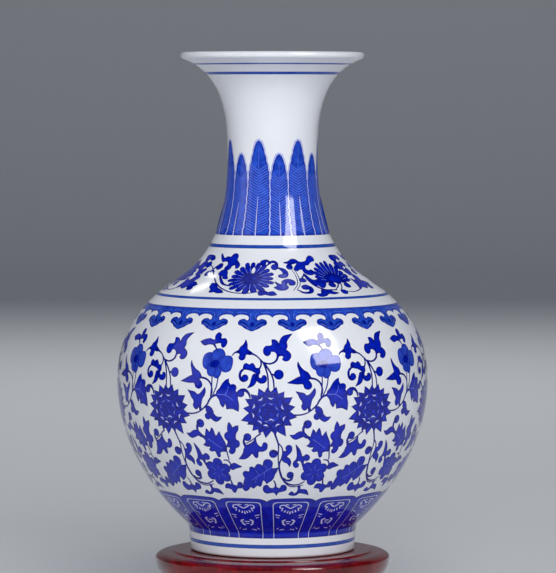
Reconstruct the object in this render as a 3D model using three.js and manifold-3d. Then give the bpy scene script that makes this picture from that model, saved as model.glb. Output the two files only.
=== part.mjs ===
// A long-necked porcelain bottle vase on its turned and lacquered wooden stand.
// Millimetres, +Z up. The origin is the middle of the floor under the stand.
//
// The vase is thrown in three sections that are luted together with slip before the glaze firing:
// the lower body with its foot, the upper body, and the neck with its mouth. The stand is a seat
// disc, a waist and a plinth turned from hardwood, on four bun feet with felt pads. The vase only
// rests on the seat, so it lifts straight off.

import * as THREE from "three";
import { mergeVertices } from "three/addons/utils/BufferGeometryUtils.js";
import Module from "manifold-3d";

// ---- Driving sizes: the vase ----
const VASE_HEIGHT = 330;
const LIP_DIAMETER = 122;
const NECK_DIAMETER = 59.8;
const SHOULDER_DIAMETER = 122.8; // where the shoulder turns into the neck
const BELLY_DIAMETER = 206.4;
const FOOT_DIAMETER = 109; // at the ground rim
const FOOT_FLARE = 1.4; // how far the foot ring widens on its way up, on each side
const FOOT_HEIGHT = 16.9; // up to the crease under the belly
const BELLY_HEIGHT = 112.2; // the widest place, above the foot rim
const SHOULDER_HEIGHT = 181.6;
const NECK_DROP = 64.4; // the narrowest place, below the lip
const WALL = 4.4; // the lip is rounded over the whole wall
const FLOOR_THICKNESS = 6.5; // in the middle of the base
const BASE_RECESS = 8; // height of the hollow inside the foot ring
const FOOT_RING_WIDTH = 6;
const FOOT_RIM_ROUND = 1.4;
const NECK_SEAM_HEIGHT = 186; // where the neck is luted onto the shoulder
const SEAM_GAP = 0.3;

// Directions of the outside, in degrees above the level, and how far each curve keeps its
// direction before it bends, as shares of the straight line between its ends.
const FOOT_ANGLE = 42.3;
const SHOULDER_ANGLE = 34.4;
const LIP_ANGLE = 20.7;
const LOWER_BODY_EASE = [0.284, 0.389];
const UPPER_BODY_EASE = [0.431, 0.362];
const NECK_EASE = [0.326, 0.489];
const MOUTH_EASE = [0.548, 0.303];
const FLOOR_EASE = [0.6, 0.2];

// ---- Driving sizes: the stand ----
const SEAT_OVERHANG = 23.5; // from the vase's foot out to the edge of the seat
const SEAT_THICKNESS = 18;
const SEAT_TABLE_MARGIN = 12; // the flat table in the middle, beyond the vase's foot
const TABLE_STEP = 0.9; // how far the table stands above the moulding round it
const TABLE_BEAD = 1.2; // width of the small round that ends the table
const MOULDING_FALL = 0.6;
const EDGE_WIDTH = 7; // level width of the rounded edge
const EDGE_WIDEST_DROP = 5; // how far below the table the edge is widest
const SEAT_UNDERCUT = 9; // how far the edge comes back in under the seat
const WAIST_SET_BACK = 22; // from the edge of the seat in to the waist
const WAIST_HEIGHT = 6;
const WAIST_COVE = 4; // how deep the hollow round the waist is
const SPIGOT_DIAMETER = 60;
const SPIGOT_LENGTH = 4;
const PLINTH_SET_BACK = 4; // from the edge of the seat in to the edge of the plinth
const PLINTH_THICKNESS = 8;
const BUN_DIAMETER = 24;
const BUN_HEIGHT = 8;
const BUN_COUNT = 4;
const BUN_INSET = 7; // from the plinth's edge in to the widest part of a bun foot
const DOWEL_DIAMETER = 8;
const DOWEL_LENGTH = 5;
const PAD_DIAMETER = 15;
const PAD_THICKNESS = 2;
const CLEARANCE = 0.3; // between pieces that touch or fit into each other
const DRILL_START = 1; // how far below the plinth each dowel hole's cut begins

// ---- How finely the round pieces are divided ----
const VASE_SIDES = 48;
const STAND_SIDES = 48;
const SMALL_SIDES = 20;
const CURVE_STEPS = 7;
const ARC_STEPS = 4;

const wasm = await Module();
wasm.setup();

const radians = THREE.MathUtils.degToRad;
const point = (r, z) => new THREE.Vector2(r, z);

// A unit direction that leans outwards by the given angle above the level.
function heading(degrees) {
  return point(Math.cos(radians(degrees)), Math.sin(radians(degrees)));
}

// A smooth curve that leaves one point and reaches the next in the given directions.
function sweep(from, leaving, to, arriving, ease, steps = CURVE_STEPS) {
  const span = from.distanceTo(to);
  const first = from.clone().addScaledVector(leaving, span * ease[0]);
  const second = to.clone().addScaledVector(arriving, -span * ease[1]);
  return new THREE.CubicBezierCurve(from, first, second, to).getPoints(steps);
}

// A round corner about a centre, between two angles in degrees.
function round(centre, width, height, start, end, steps = ARC_STEPS) {
  const clockwise = end < start;
  const arc = new THREE.EllipseCurve(
    centre.x, centre.y, width, height, radians(start), radians(end), clockwise,
  );
  return arc.getPoints(steps);
}

// Leaves out each point that repeats the one before it.
function chain(...runs) {
  const joined = runs.flat();
  return joined.filter((p, i) => i === 0 || p.distanceTo(joined[i - 1]) > 1e-6);
}

// The line inside a wall, at the given distance from the outside.
function inset(outside, distance) {
  return outside.map((p, i) => {
    const before = outside[Math.max(i - 1, 0)];
    const after = outside[Math.min(i + 1, outside.length - 1)];
    const along = after.clone().sub(before).normalize();
    return point(p.x - along.y * distance, p.y + along.x * distance);
  });
}

// The stretch of a rising line between two heights.
function between(line, low, high) {
  const cut = [];
  line.forEach((p, i) => {
    const next = line[i + 1];
    if (p.y >= low && p.y <= high) cut.push(p);
    if (!next) return;
    for (const level of [low, high]) {
      if (p.y < level && next.y > level) {
        cut.push(p.clone().lerp(next, (level - p.y) / (next.y - p.y)));
      }
    }
  });
  return cut;
}

const UP = point(0, 1);
const LEVEL = point(1, 0);

// ---- Widths and heights in the stand, from the foot of the vase out and from the floor up ----
const footRadius = FOOT_DIAMETER / 2;
const seatRadius = footRadius + SEAT_OVERHANG;
const waistRadius = seatRadius - WAIST_SET_BACK;
const plinthRadius = seatRadius - PLINTH_SET_BACK;
const bunBottom = PAD_THICKNESS + CLEARANCE;
const plinthBottom = bunBottom + BUN_HEIGHT + CLEARANCE;
const plinthTop = plinthBottom + PLINTH_THICKNESS;
const waistBottom = plinthTop + CLEARANCE;
const waistTop = waistBottom + WAIST_HEIGHT;
const seatBottom = waistTop + CLEARANCE;
const seatTop = seatBottom + SEAT_THICKNESS;
const vaseBottom = seatTop + CLEARANCE;

// ---- The outside of the vase, from the crease over the foot up to the lip ----
const crease = point(footRadius + FOOT_FLARE, FOOT_HEIGHT);
const widest = point(BELLY_DIAMETER / 2, BELLY_HEIGHT);
const shoulder = point(SHOULDER_DIAMETER / 2, SHOULDER_HEIGHT);
const narrowest = point(NECK_DIAMETER / 2, VASE_HEIGHT - NECK_DROP);
const lipRound = WALL / 2;
const lipHeading = heading(LIP_ANGLE);
const lipCentre = point(LIP_DIAMETER / 2 - lipRound, VASE_HEIGHT - lipRound);
const lipStart = point(lipCentre.x + lipRound * lipHeading.y, lipCentre.y - lipRound * lipHeading.x);

const shoulderHeading = heading(180 - SHOULDER_ANGLE);
const outside = chain(
  sweep(crease, heading(FOOT_ANGLE), widest, UP, LOWER_BODY_EASE),
  sweep(widest, UP, shoulder, shoulderHeading, UPPER_BODY_EASE),
  sweep(shoulder, shoulderHeading, narrowest, UP, NECK_EASE),
  sweep(narrowest, UP, lipStart, lipHeading, MOUTH_EASE),
);
const inside = inset(outside, WALL);

// ---- The three thrown sections ----
const seamLow = BELLY_HEIGHT;
const seamHigh = NECK_SEAM_HEIGHT;

function lowerBodyProfile() {
  const top = seamLow - SEAM_GAP / 2;
  const ringInner = footRadius - FOOT_RING_WIDTH;
  const rimOuter = point(footRadius - FOOT_RIM_ROUND, FOOT_RIM_ROUND);
  const rimInner = point(ringInner + FOOT_RIM_ROUND, FOOT_RIM_ROUND);
  const recessCorner = point(ringInner - FOOT_RIM_ROUND, BASE_RECESS - FOOT_RIM_ROUND);
  const floorMiddle = point(0, BASE_RECESS + FLOOR_THICKNESS);
  return chain(
    [point(0, BASE_RECESS)],
    round(recessCorner, FOOT_RIM_ROUND, FOOT_RIM_ROUND, 90, 0),
    round(rimInner, FOOT_RIM_ROUND, FOOT_RIM_ROUND, 180, 270),
    round(rimOuter, FOOT_RIM_ROUND, FOOT_RIM_ROUND, 270, 360),
    between(outside, 0, top),
    between(inside, 0, top).reverse(),
    sweep(floorMiddle, LEVEL, inside[0], heading(FOOT_ANGLE), FLOOR_EASE).reverse(),
  );
}

function upperBodyProfile() {
  const bottom = seamLow + SEAM_GAP / 2;
  const top = seamHigh - SEAM_GAP / 2;
  const ring = chain(between(outside, bottom, top), between(inside, bottom, top).reverse());
  return [...ring, ring[0].clone()];
}

function neckProfile() {
  const bottom = seamHigh + SEAM_GAP / 2;
  const ring = chain(
    between(outside, bottom, VASE_HEIGHT),
    round(lipCentre, lipRound, lipRound, LIP_ANGLE - 90, LIP_ANGLE + 90, 2 * ARC_STEPS),
    between(inside, bottom, VASE_HEIGHT).reverse(),
  );
  return [...ring, ring[0].clone()];
}

// ---- The turned pieces of the stand, each from its own foot up ----
// A socket is as deep as its spigot is long, and the clearance between the shoulders leaves the gap.
const spigotRadius = SPIGOT_DIAMETER / 2;
const socketRadius = spigotRadius + CLEARANCE;

function seatProfile() {
  const tableRadius = footRadius + SEAT_TABLE_MARGIN;
  const beadCentre = point(tableRadius - TABLE_BEAD, SEAT_THICKNESS - TABLE_STEP);
  const edgeTop = SEAT_THICKNESS - TABLE_STEP - MOULDING_FALL;
  const widestHeight = SEAT_THICKNESS - EDGE_WIDEST_DROP;
  const upperCentre = point(seatRadius - EDGE_WIDTH, widestHeight);
  const lowerCentre = point(seatRadius - SEAT_UNDERCUT, widestHeight);
  return chain(
    [point(0, SPIGOT_LENGTH), point(socketRadius, SPIGOT_LENGTH), point(socketRadius, 0)],
    round(lowerCentre, SEAT_UNDERCUT, widestHeight, 270, 360, 2 * ARC_STEPS),
    round(upperCentre, EDGE_WIDTH, edgeTop - widestHeight, 0, 90),
    round(beadCentre, TABLE_BEAD, TABLE_STEP, 0, 90),
    [point(0, SEAT_THICKNESS)],
  );
}

function waistProfile() {
  const radius = waistRadius;
  const coveCentre = point(radius, WAIST_HEIGHT / 2);
  const lip = WAIST_HEIGHT / 6;
  return chain(
    [point(0, -SPIGOT_LENGTH), point(spigotRadius, -SPIGOT_LENGTH), point(spigotRadius, 0)],
    [point(radius, 0), point(radius, lip)],
    round(coveCentre, WAIST_COVE, WAIST_HEIGHT / 2 - lip, 270, 90, 2 * ARC_STEPS),
    [point(radius, WAIST_HEIGHT - lip), point(radius, WAIST_HEIGHT)],
    [point(spigotRadius, WAIST_HEIGHT), point(spigotRadius, WAIST_HEIGHT + SPIGOT_LENGTH)],
    [point(0, WAIST_HEIGHT + SPIGOT_LENGTH)],
  );
}

function plinthProfile() {
  const edge = PLINTH_THICKNESS / 2;
  const edgeCentre = point(plinthRadius - edge, edge);
  const floor = PLINTH_THICKNESS - SPIGOT_LENGTH;
  return chain(
    [point(0, 0)],
    round(edgeCentre, edge, edge, 270, 450, 2 * ARC_STEPS),
    [point(socketRadius, PLINTH_THICKNESS), point(socketRadius, floor), point(0, floor)],
  );
}

function bunProfile() {
  const half = BUN_HEIGHT / 2;
  const bulge = half;
  const bulgeCentre = point(BUN_DIAMETER / 2 - bulge, half);
  const dowelTop = BUN_HEIGHT + DOWEL_LENGTH;
  return chain(
    [point(0, 0)],
    round(bulgeCentre, bulge, half, 270, 450, 2 * ARC_STEPS),
    [point(DOWEL_DIAMETER / 2, BUN_HEIGHT), point(DOWEL_DIAMETER / 2, dowelTop)],
    [point(0, dowelTop)],
  );
}

function padProfile() {
  const radius = PAD_DIAMETER / 2;
  return [point(0, 0), point(radius, 0), point(radius, PAD_THICKNESS), point(0, PAD_THICKNESS)];
}

// ---- Solids ----
function turned(profile, sides) {
  const geometry = new THREE.LatheGeometry(profile, sides);
  return geometry.rotateX(Math.PI / 2);
}

function toSolid(geometry) {
  const bare = new THREE.BufferGeometry();
  bare.setAttribute("position", geometry.getAttribute("position"));
  bare.setIndex(geometry.index);
  const merged = mergeVertices(bare, 1e-4);
  return new wasm.Manifold(new wasm.Mesh({
    numProp: 3,
    vertProperties: merged.getAttribute("position").array,
    triVerts: new Uint32Array(merged.index.array),
  }));
}

function toGeometry(solid) {
  const { vertProperties, triVerts } = solid.getMesh();
  const geometry = new THREE.BufferGeometry();
  geometry.setAttribute("position", new THREE.BufferAttribute(vertProperties, 3));
  geometry.setIndex(new THREE.BufferAttribute(triVerts, 1));
  const facets = geometry.toNonIndexed();
  facets.computeVertexNormals();
  return facets;
}

// The middle of each bun foot, spread evenly under the plinth.
const bunCircle = plinthRadius - BUN_INSET - BUN_DIAMETER / 2;
const bunPlaces = Array.from({ length: BUN_COUNT }, (_, i) => {
  const angle = ((i + 0.5) * 2 * Math.PI) / BUN_COUNT;
  return new THREE.Vector3(bunCircle * Math.cos(angle), bunCircle * Math.sin(angle), 0);
});

// The plinth has a blind hole for each bun foot's dowel.
function plinthGeometry() {
  const radius = DOWEL_DIAMETER / 2 + CLEARANCE;
  const drill = [
    point(0, -DRILL_START),
    point(radius, -DRILL_START),
    point(radius, DOWEL_LENGTH),
    point(0, DOWEL_LENGTH),
  ];
  let solid = toSolid(turned(plinthProfile(), STAND_SIDES));
  for (const place of bunPlaces) {
    const hole = turned(drill, SMALL_SIDES).translate(place.x, place.y, place.z);
    solid = solid.subtract(toSolid(hole));
  }
  return toGeometry(solid);
}

// ---- Finishes ----
const porcelain = { color: 0xe4e8f4, roughness: 0.12, metalness: 0 };
const lacquer = { color: 0x5c0a10, roughness: 0.16, metalness: 0 };
const felt = { color: 0x1d1a1b, roughness: 0.95, metalness: 0 };

function piece(name, geometry, finish) {
  const mesh = new THREE.Mesh(geometry, new THREE.MeshStandardMaterial(finish));
  mesh.name = name;
  return mesh;
}

// ---- Assembly ----
const vase = new THREE.Group();
vase.position.z = vaseBottom;
vase.add(
  piece("lower_body", turned(lowerBodyProfile(), VASE_SIDES), porcelain),
  piece("upper_body", turned(upperBodyProfile(), VASE_SIDES), porcelain),
  piece("neck_and_mouth", turned(neckProfile(), VASE_SIDES), porcelain),
);

const seat = piece("stand_seat", turned(seatProfile(), STAND_SIDES), lacquer);
seat.position.z = seatBottom;
const waist = piece("stand_waist", turned(waistProfile(), STAND_SIDES), lacquer);
waist.position.z = waistBottom;
const plinth = piece("stand_plinth", plinthGeometry(), lacquer);
plinth.position.z = plinthBottom;

const stand = new THREE.Group();
stand.add(seat, waist, plinth);
bunPlaces.forEach((place, i) => {
  const foot = piece(`bun_foot_${i + 1}`, turned(bunProfile(), SMALL_SIDES), lacquer);
  foot.position.set(place.x, place.y, bunBottom);
  const pad = piece(`felt_pad_${i + 1}`, turned(padProfile(), SMALL_SIDES), felt);
  pad.position.set(place.x, place.y, 0);
  stand.add(foot, pad);
});

const group = new THREE.Group();
group.add(stand, vase);

export default group;
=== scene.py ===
"""A blue and white porcelain bottle vase on its lacquered wooden stand, in a plain studio.

The vase is turned from one outline in three sections. The cobalt painting lies on it as thin films, one
for each band and strength of blue, drawn in millimetres round and up the vase and then wrapped onto it.
"""
from math import ceil, cos, pi, radians, sin

import bpy
import numpy as np
from bpy.props import FloatProperty, FloatVectorProperty, PointerProperty
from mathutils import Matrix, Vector
from mathutils.geometry import delaunay_2d_cdt


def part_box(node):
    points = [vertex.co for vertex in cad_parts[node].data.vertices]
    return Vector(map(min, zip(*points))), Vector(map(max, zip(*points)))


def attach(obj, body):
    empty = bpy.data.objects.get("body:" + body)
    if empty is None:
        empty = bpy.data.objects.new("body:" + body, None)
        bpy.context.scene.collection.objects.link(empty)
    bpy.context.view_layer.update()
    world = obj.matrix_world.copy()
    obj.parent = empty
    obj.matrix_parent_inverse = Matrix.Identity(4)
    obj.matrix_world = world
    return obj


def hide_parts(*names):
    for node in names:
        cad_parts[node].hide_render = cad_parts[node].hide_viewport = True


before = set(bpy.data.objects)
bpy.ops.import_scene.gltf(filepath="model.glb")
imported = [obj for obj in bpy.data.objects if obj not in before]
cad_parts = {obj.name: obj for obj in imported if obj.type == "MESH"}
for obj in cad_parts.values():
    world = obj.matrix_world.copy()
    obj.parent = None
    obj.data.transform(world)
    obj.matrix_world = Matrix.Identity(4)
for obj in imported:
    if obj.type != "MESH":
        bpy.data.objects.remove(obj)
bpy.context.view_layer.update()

bl_info = {
    "name": "Blue and White Bottle Vase",
    "version": (1, 0, 0),
    "blender": (4, 5, 0),
    "location": "3D View > Sidebar > Vase",
    "description": "Builds a painted porcelain vase on its stand round the packed frame",
    "category": "Object",
}

MM = 0.001
SIDES = 288  # round the vase; a side at the belly is about 2 mm
STAND_SIDES = 192
SMALL_SIDES = 64
BODY_STEP = 1.9 * MM  # along the vase's outline
PEN_STEP = 0.6  # mm along a drawn outline


# ---------------------------------------------------------------- sizes and colours

def srgb(code):
    """A colour from its sRGB hex value, as the linear numbers that the shaders use."""
    parts = [int(code[i:i + 2], 16) / 255 for i in (1, 3, 5)]
    return tuple(c / 12.92 if c <= 0.04045 else ((c + 0.055) / 1.055) ** 2.4 for c in parts) + (1.0,)


def size(name, description, millimetres):
    """A length that a user may change, given in millimetres and kept in metres."""
    return FloatProperty(name=name, description=description, default=millimetres * MM,
                         subtype="DISTANCE", unit="LENGTH", precision=5)


def tint(name, description, code):
    """A colour that a user may change."""
    return FloatVectorProperty(name=name, description=description, subtype="COLOR", size=4,
                               min=0.0, max=1.0, default=srgb(code))


def width_of(node):
    """The width of a round node of the frame, in millimetres."""
    low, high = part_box(node)
    return (high[0] - low[0]) / MM


class VaseSizes(bpy.types.PropertyGroup):
    """Sizes of the porcelain."""
    lip: size("Lip", "Diameter of the lip", width_of("neck_and_mouth"))
    neck: size("Neck", "Diameter of the narrowest place", 59.8)
    neck_drop: size("Neck drop", "From the lip down to the narrowest place", 64.4)
    shoulder: size("Shoulder", "Diameter where the shoulder turns into the neck", 122.8)
    shoulder_height: size("Shoulder height", "Height of that turn above the foot rim", 181.6)
    belly: size("Belly", "Widest diameter", width_of("lower_body"))
    belly_height: size("Belly height", "Height of the widest place above the foot rim", 112.2)
    foot: size("Foot", "Diameter at the foot rim", 109.0)
    foot_flare: size("Foot flare", "How far the foot widens on its way up, on each side", 1.4)
    foot_height: size("Foot height", "Height of the crease over the foot", 16.9)
    foot_ring: size("Foot ring", "Width of the ring the vase stands on", 6.0)
    recess: size("Recess", "Height of the hollow inside the foot ring", 8.0)
    floor: size("Floor", "Thickness of the bottom in the middle", 6.5)
    wall: size("Wall", "Thickness of the wall", 4.4)
    neck_seam: size("Neck seam", "Height above the foot where the neck is luted on", 186.0)


class StandSizes(bpy.types.PropertyGroup):
    """Sizes of the turned wooden stand."""
    table_margin: size("Table margin", "The flat table's edge beyond the vase's foot", 12.0)
    table_step: size("Table step", "How far the table stands above the moulding round it", 0.9)
    table_bead: size("Table bead", "Width of the small round that ends the table", 1.2)
    moulding_fall: size("Moulding fall", "How far the moulding falls outwards", 0.6)
    edge_width: size("Edge width", "Level width of the rounded edge", 7.0)
    widest_drop: size("Edge drop", "How far below the table the edge is widest", 5.0)
    undercut: size("Undercut", "How far the edge comes back in under the seat", 9.0)
    waist_cove: size("Waist cove", "Depth of the hollow round the waist", 4.0)
    spigot: size("Spigot", "Diameter of the spigots that join the pieces", 60.0)
    spigot_length: size("Spigot length", "Length of each spigot", 4.0)
    dowel: size("Dowel", "Diameter of the dowel on a bun foot", 8.0)
    dowel_length: size("Dowel length", "Length of the dowel on a bun foot", 5.0)
    clearance: size("Clearance", "Room between pieces that fit together", 0.3)


class Finishes(bpy.types.PropertyGroup):
    """Colours of the finishes."""
    white: tint("Porcelain white", "The clear glaze over the white body", "#E6E4FC")
    white_cool: tint("Cool white", "Where the glaze lies thicker", "#DCDEF8")
    biscuit: tint("Biscuit", "The unglazed foot rim", "#DDD3C4")
    deep_edge: tint("Deep edge", "Edge of the strong cobalt, where the pigment gathers", "#050F7E")
    deep_core: tint("Deep core", "Middle of the strong cobalt", "#0A28CC")
    wash_edge: tint("Wash edge", "Edge of the thinned cobalt", "#2032A6")
    wash_core: tint("Wash core", "Middle of the thinned cobalt", "#3456D4")
    bright_edge: tint("Bright edge", "Edge of the cloud collar's cobalt", "#0A1C90")
    bright_core: tint("Bright core", "Middle of the cloud collar's cobalt", "#2E5CDC")
    line_edge: tint("Line edge", "Edge of the banding lines", "#1A3A9E")
    line_core: tint("Line core", "Middle of the banding lines", "#2E62CC")
    vein: tint("Vein", "Light lines in the leaves and borders", "#6A82E6")
    pale: tint("Pale", "The faintest cobalt, in ribs, panel lines and petal tips", "#B4BEF0")
    lacquer: tint("Lacquer", "Clear red-brown lacquer over hardwood", "#8C0A12")
    lacquer_dark: tint("Dark grain", "The wood's dark grain under the lacquer", "#3C0409")
    felt: tint("Felt", "The pads' wool", "#1E1A1C")
    stage: tint("Stage", "The studio floor and backdrop", "#D4D6DA")


# ---------------------------------------------------------------- lines

def direction(degrees):
    """A unit direction in the plane of the outline, leaning outwards above the level."""
    return np.array([cos(radians(degrees)), sin(radians(degrees))])


def sweep(start, leaving, end, arriving, ease, count=160):
    """A smooth curve that leaves one point and reaches the next in the given directions."""
    span = np.linalg.norm(end - start)
    first = start + leaving * span * ease[0]
    second = end - arriving * span * ease[1]
    t = np.linspace(0, 1, count)[:, None]
    u = 1 - t
    return u ** 3 * start + 3 * u * u * t * first + 3 * u * t * t * second + t ** 3 * end


def arc(centre, width, height, begin, finish, count=13):
    """Points on part of an ellipse, between two angles in degrees."""
    angles = np.radians(np.linspace(begin, finish, count))
    return np.stack([centre[0] + width * np.cos(angles), centre[1] + height * np.sin(angles)], axis=1)


def lengths_along(line):
    """The length of a line up to each of its points."""
    steps = np.linalg.norm(np.diff(line, axis=0), axis=1)
    return np.concatenate([[0.0], np.cumsum(steps)])


def without_repeats(line):
    """The line without points that repeat the one before."""
    keep = np.concatenate([[True], np.linalg.norm(np.diff(line, axis=0), axis=1) > 1e-9])
    return line[keep]


class Outline:
    """The outside of the vase, from the foot rim up to the lip, measured along its length."""

    FILLET = 1.6 * MM  # the glaze fills the crease over the foot with a small hollow round
    EASES = ((0.284, 0.389), (0.431, 0.362), (0.326, 0.489), (0.548, 0.303))
    FOOT_ANGLE, SHOULDER_ANGLE, LIP_ANGLE = 42.3, 34.4, 20.7

    def __init__(self, sizes, bottom, height):
        up = np.array([0.0, 1.0])
        foot = np.array([sizes.foot / 2, 0.0])
        crease = np.array([sizes.foot / 2 + sizes.foot_flare, sizes.foot_height])
        widest = np.array([sizes.belly / 2, sizes.belly_height])
        shoulder = np.array([sizes.shoulder / 2, sizes.shoulder_height])
        narrowest = np.array([sizes.neck / 2, height - sizes.neck_drop])
        self.lip_round = sizes.wall / 2
        self.lip_centre = np.array([sizes.lip / 2 - self.lip_round, height - self.lip_round])
        lip_way = direction(self.LIP_ANGLE)
        lip_start = self.lip_centre + self.lip_round * np.array([lip_way[1], -lip_way[0]])
        inwards = direction(180 - self.SHOULDER_ANGLE)
        foot_way = direction(self.FOOT_ANGLE)
        side = (crease - foot) / np.linalg.norm(crease - foot)
        curves = (
            sweep(crease, foot_way, widest, up, self.EASES[0]),
            sweep(widest, up, shoulder, inwards, self.EASES[1]),
            sweep(shoulder, inwards, narrowest, up, self.EASES[2]),
            sweep(narrowest, up, lip_start, lip_way, self.EASES[3]),
        )
        body = np.concatenate(curves)
        body = body[np.linalg.norm(body - crease, axis=1) > self.FILLET]
        t = np.linspace(0, 1, 9)[:, None]
        below = crease - side * self.FILLET
        fillet = (1 - t) ** 2 * below + 2 * t * (1 - t) * crease + t ** 2 * body[0]
        straight = foot + (below - foot) * np.linspace(0, 1, 12)[:, None]
        self.line = without_repeats(np.concatenate([straight, fillet, body]))
        self.length = lengths_along(self.line)
        self.crease = self.length[len(straight):len(straight) + len(fillet) - 1]
        way = np.gradient(self.line, self.length, axis=0)
        way /= np.linalg.norm(way, axis=1)[:, None]
        self.normal = np.stack([way[:, 1], -way[:, 0]], axis=1)
        self.bottom = bottom
        self.height = height

    def at(self, along):
        """The points and the outward directions at some lengths."""
        pick = [np.interp(along, self.length, column) for column in (*self.line.T, *self.normal.T)]
        return np.stack(pick[:2], axis=-1), np.stack(pick[2:], axis=-1)

    def along_at(self, height):
        """The length at a height above the foot rim."""
        return float(np.interp(height, self.line[:, 1], self.length))

    def stretch(self, low, high, step=BODY_STEP):
        """Points and outward directions from one length to another, close together in the crease."""
        even = np.linspace(low, high, max(2, ceil((high - low) / step) + 1))
        crease = self.crease[(self.crease > low) & (self.crease < high)]
        if len(crease):
            even = even[(even < crease[0] - step / 4) | (even > crease[-1] + step / 4)]
        return self.at(np.sort(np.concatenate([even, crease])))


# ---------------------------------------------------------------- turned pieces

def finish_mesh(name, verts, faces, normals, uvs, material):
    """Makes a smooth mesh object with its own corner normals and its own flat map."""
    mesh = bpy.data.meshes.new(name)
    mesh.from_pydata(verts.tolist(), [], faces)
    mesh.polygons.foreach_set("use_smooth", np.ones(len(mesh.polygons), dtype=bool))
    layer = mesh.uv_layers.new(name="OFBake")
    layer.data.foreach_set("uv", uvs.astype(np.float32).ravel())
    mesh.normals_split_custom_set(normals.tolist())
    mesh.materials.append(material)
    made = bpy.data.objects.new(name, mesh)
    bpy.context.scene.collection.objects.link(made)
    return made


def run_normals(line):
    """Outward directions along an open line that runs with the outside on its right."""
    way = np.gradient(line, lengths_along(line), axis=0)
    way /= np.linalg.norm(way, axis=1)[:, None]
    return np.stack([way[:, 1], -way[:, 0]], axis=1)


def turn(name, runs, sides, material, centre=(0.0, 0.0), bottom=0.0):
    """Turns a closed outline round an upright axis. Each run of it is smooth, with edges between the runs.

    A run is a line, or a line with its outward directions. The runs go round the section with the
    outside on the right, from the axis back to the axis or in a ring.
    """
    given = [run if isinstance(run, tuple) else (run, run_normals(run)) for run in runs]
    total = sum(lengths_along(line)[-1] for line, _ in given)
    angles = np.arange(sides) * 2 * pi / sides
    ring = np.stack([np.sin(angles), -np.cos(angles)], axis=1)
    points, rows, faces, normals, uvs = [], {}, [], [], []
    count = 0

    def row_of(point):
        """The row of vertices at a point of the section, made once."""
        nonlocal count
        key = (round(point[0] * 1e7), round(point[1] * 1e7))
        if key not in rows:
            around = ring * point[0] if point[0] > 1e-7 else np.zeros((1, 2))
            level = np.full((len(around), 1), point[1])
            points.append(np.hstack([around, level]))
            rows[key] = np.arange(count, count + len(around))
            count += len(around)
        return rows[key]

    travelled = 0.0
    for line, outward in given:
        steps = lengths_along(line)
        for i in range(len(line) - 1):
            low, high = row_of(line[i]), row_of(line[i + 1])
            heights = [(travelled + steps[i]) / total, (travelled + steps[i + 1]) / total]
            for k in range(sides):
                after = (k + 1) % sides
                corners = []
                if len(low) > 1:
                    corners += [(low[k], k, 0), (low[after], k + 1, 0)]
                else:
                    corners += [(low[0], k + 0.5, 0)]
                if len(high) > 1:
                    corners += [(high[after], k + 1, 1), (high[k], k, 1)]
                else:
                    corners += [(high[0], k + 0.5, 1)]
                faces.append([int(c[0]) for c in corners])
                for _, turned, end in corners:
                    angle = turned * 2 * pi / sides
                    lean, rise = outward[i + end]
                    normals.append((lean * sin(angle), -lean * cos(angle), rise))
                    uvs.append((turned / sides, heights[end]))
        travelled += steps[-1]
    verts = np.concatenate(points) + (centre[0], centre[1], bottom)
    return finish_mesh(name, verts, faces, np.array(normals), np.array(uvs), material)


# ---------------------------------------------------------------- drawing

def smooth(points, closed=True):
    """A rounded line through some points. A third value in a point makes it a corner."""
    spots = [np.array(p[:2], dtype=float) for p in points]
    corner = [len(p) > 2 for p in points]
    count = len(spots)
    if closed:
        begin = corner.index(True) if True in corner else 0
        order = [(begin + i) % count for i in range(count + 1)]
    else:
        order = list(range(count))

    def way(i, here, there):
        """The direction at a point: along the chord at a corner or an end, else between both chords."""
        chord = spots[there] - spots[here]
        if corner[i] or (not closed and i in (0, count - 1)):
            return chord / np.linalg.norm(chord)
        before, after = spots[i] - spots[i - 1], spots[(i + 1) % count] - spots[i]
        near, far = np.linalg.norm(before), np.linalg.norm(after)
        mixed = before / near ** 1.5 * far ** 0.5 + after / far ** 1.5 * near ** 0.5
        return mixed / np.linalg.norm(mixed)

    drawn = []
    for here, there in zip(order, order[1:]):
        start, end = spots[here], spots[there]
        chord = np.linalg.norm(end - start)
        t = np.linspace(0, 1, max(3, ceil(chord / PEN_STEP) + 1))[:-1, None]
        leave, arrive = way(here, here, there) * chord, way(there, here, there) * chord
        drawn.append((2 * t ** 3 - 3 * t ** 2 + 1) * start + (t ** 3 - 2 * t ** 2 + t) * leave
                     + (3 * t ** 2 - 2 * t ** 3) * end + (t ** 3 - t ** 2) * arrive)
    if not closed:
        drawn.append(spots[-1][None, :])
    return np.concatenate(drawn)


def brush(line, widths):
    """The outline of a stroke along a line, with its width given at even places along it."""
    way = np.gradient(line, axis=0)
    way /= np.linalg.norm(way, axis=1)[:, None]
    aside = np.stack([-way[:, 1], way[:, 0]], axis=1)
    share = lengths_along(line)
    share = share / share[-1]
    half = np.interp(share, np.linspace(0, 1, len(widths)), widths)[:, None] / 2

    def cap(end, sign):
        """The round end of the stroke."""
        turns = np.radians(np.array([54, 18, -18, -54]))[:, None]
        return line[end] + sign * (np.cos(turns) * way[end] + np.sin(turns) * aside[end]) * half[end]

    return np.concatenate([line + aside * half, cap(-1, 1), (line - aside * half)[::-1], cap(0, -1)])


def inside(points, outline):
    """Which points lie inside an outline, by how often it winds round them."""
    a, b = outline, np.roll(outline, -1, axis=0)
    x, y = points[:, 0, None], points[:, 1, None]
    side = (b[:, 0] - a[:, 0]) * (y - a[:, 1]) - (x - a[:, 0]) * (b[:, 1] - a[:, 1])
    up = (a[:, 1] <= y) & (b[:, 1] > y) & (side > 0)
    down = (a[:, 1] > y) & (b[:, 1] <= y) & (side < 0)
    return up.sum(axis=1) != down.sum(axis=1)


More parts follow.
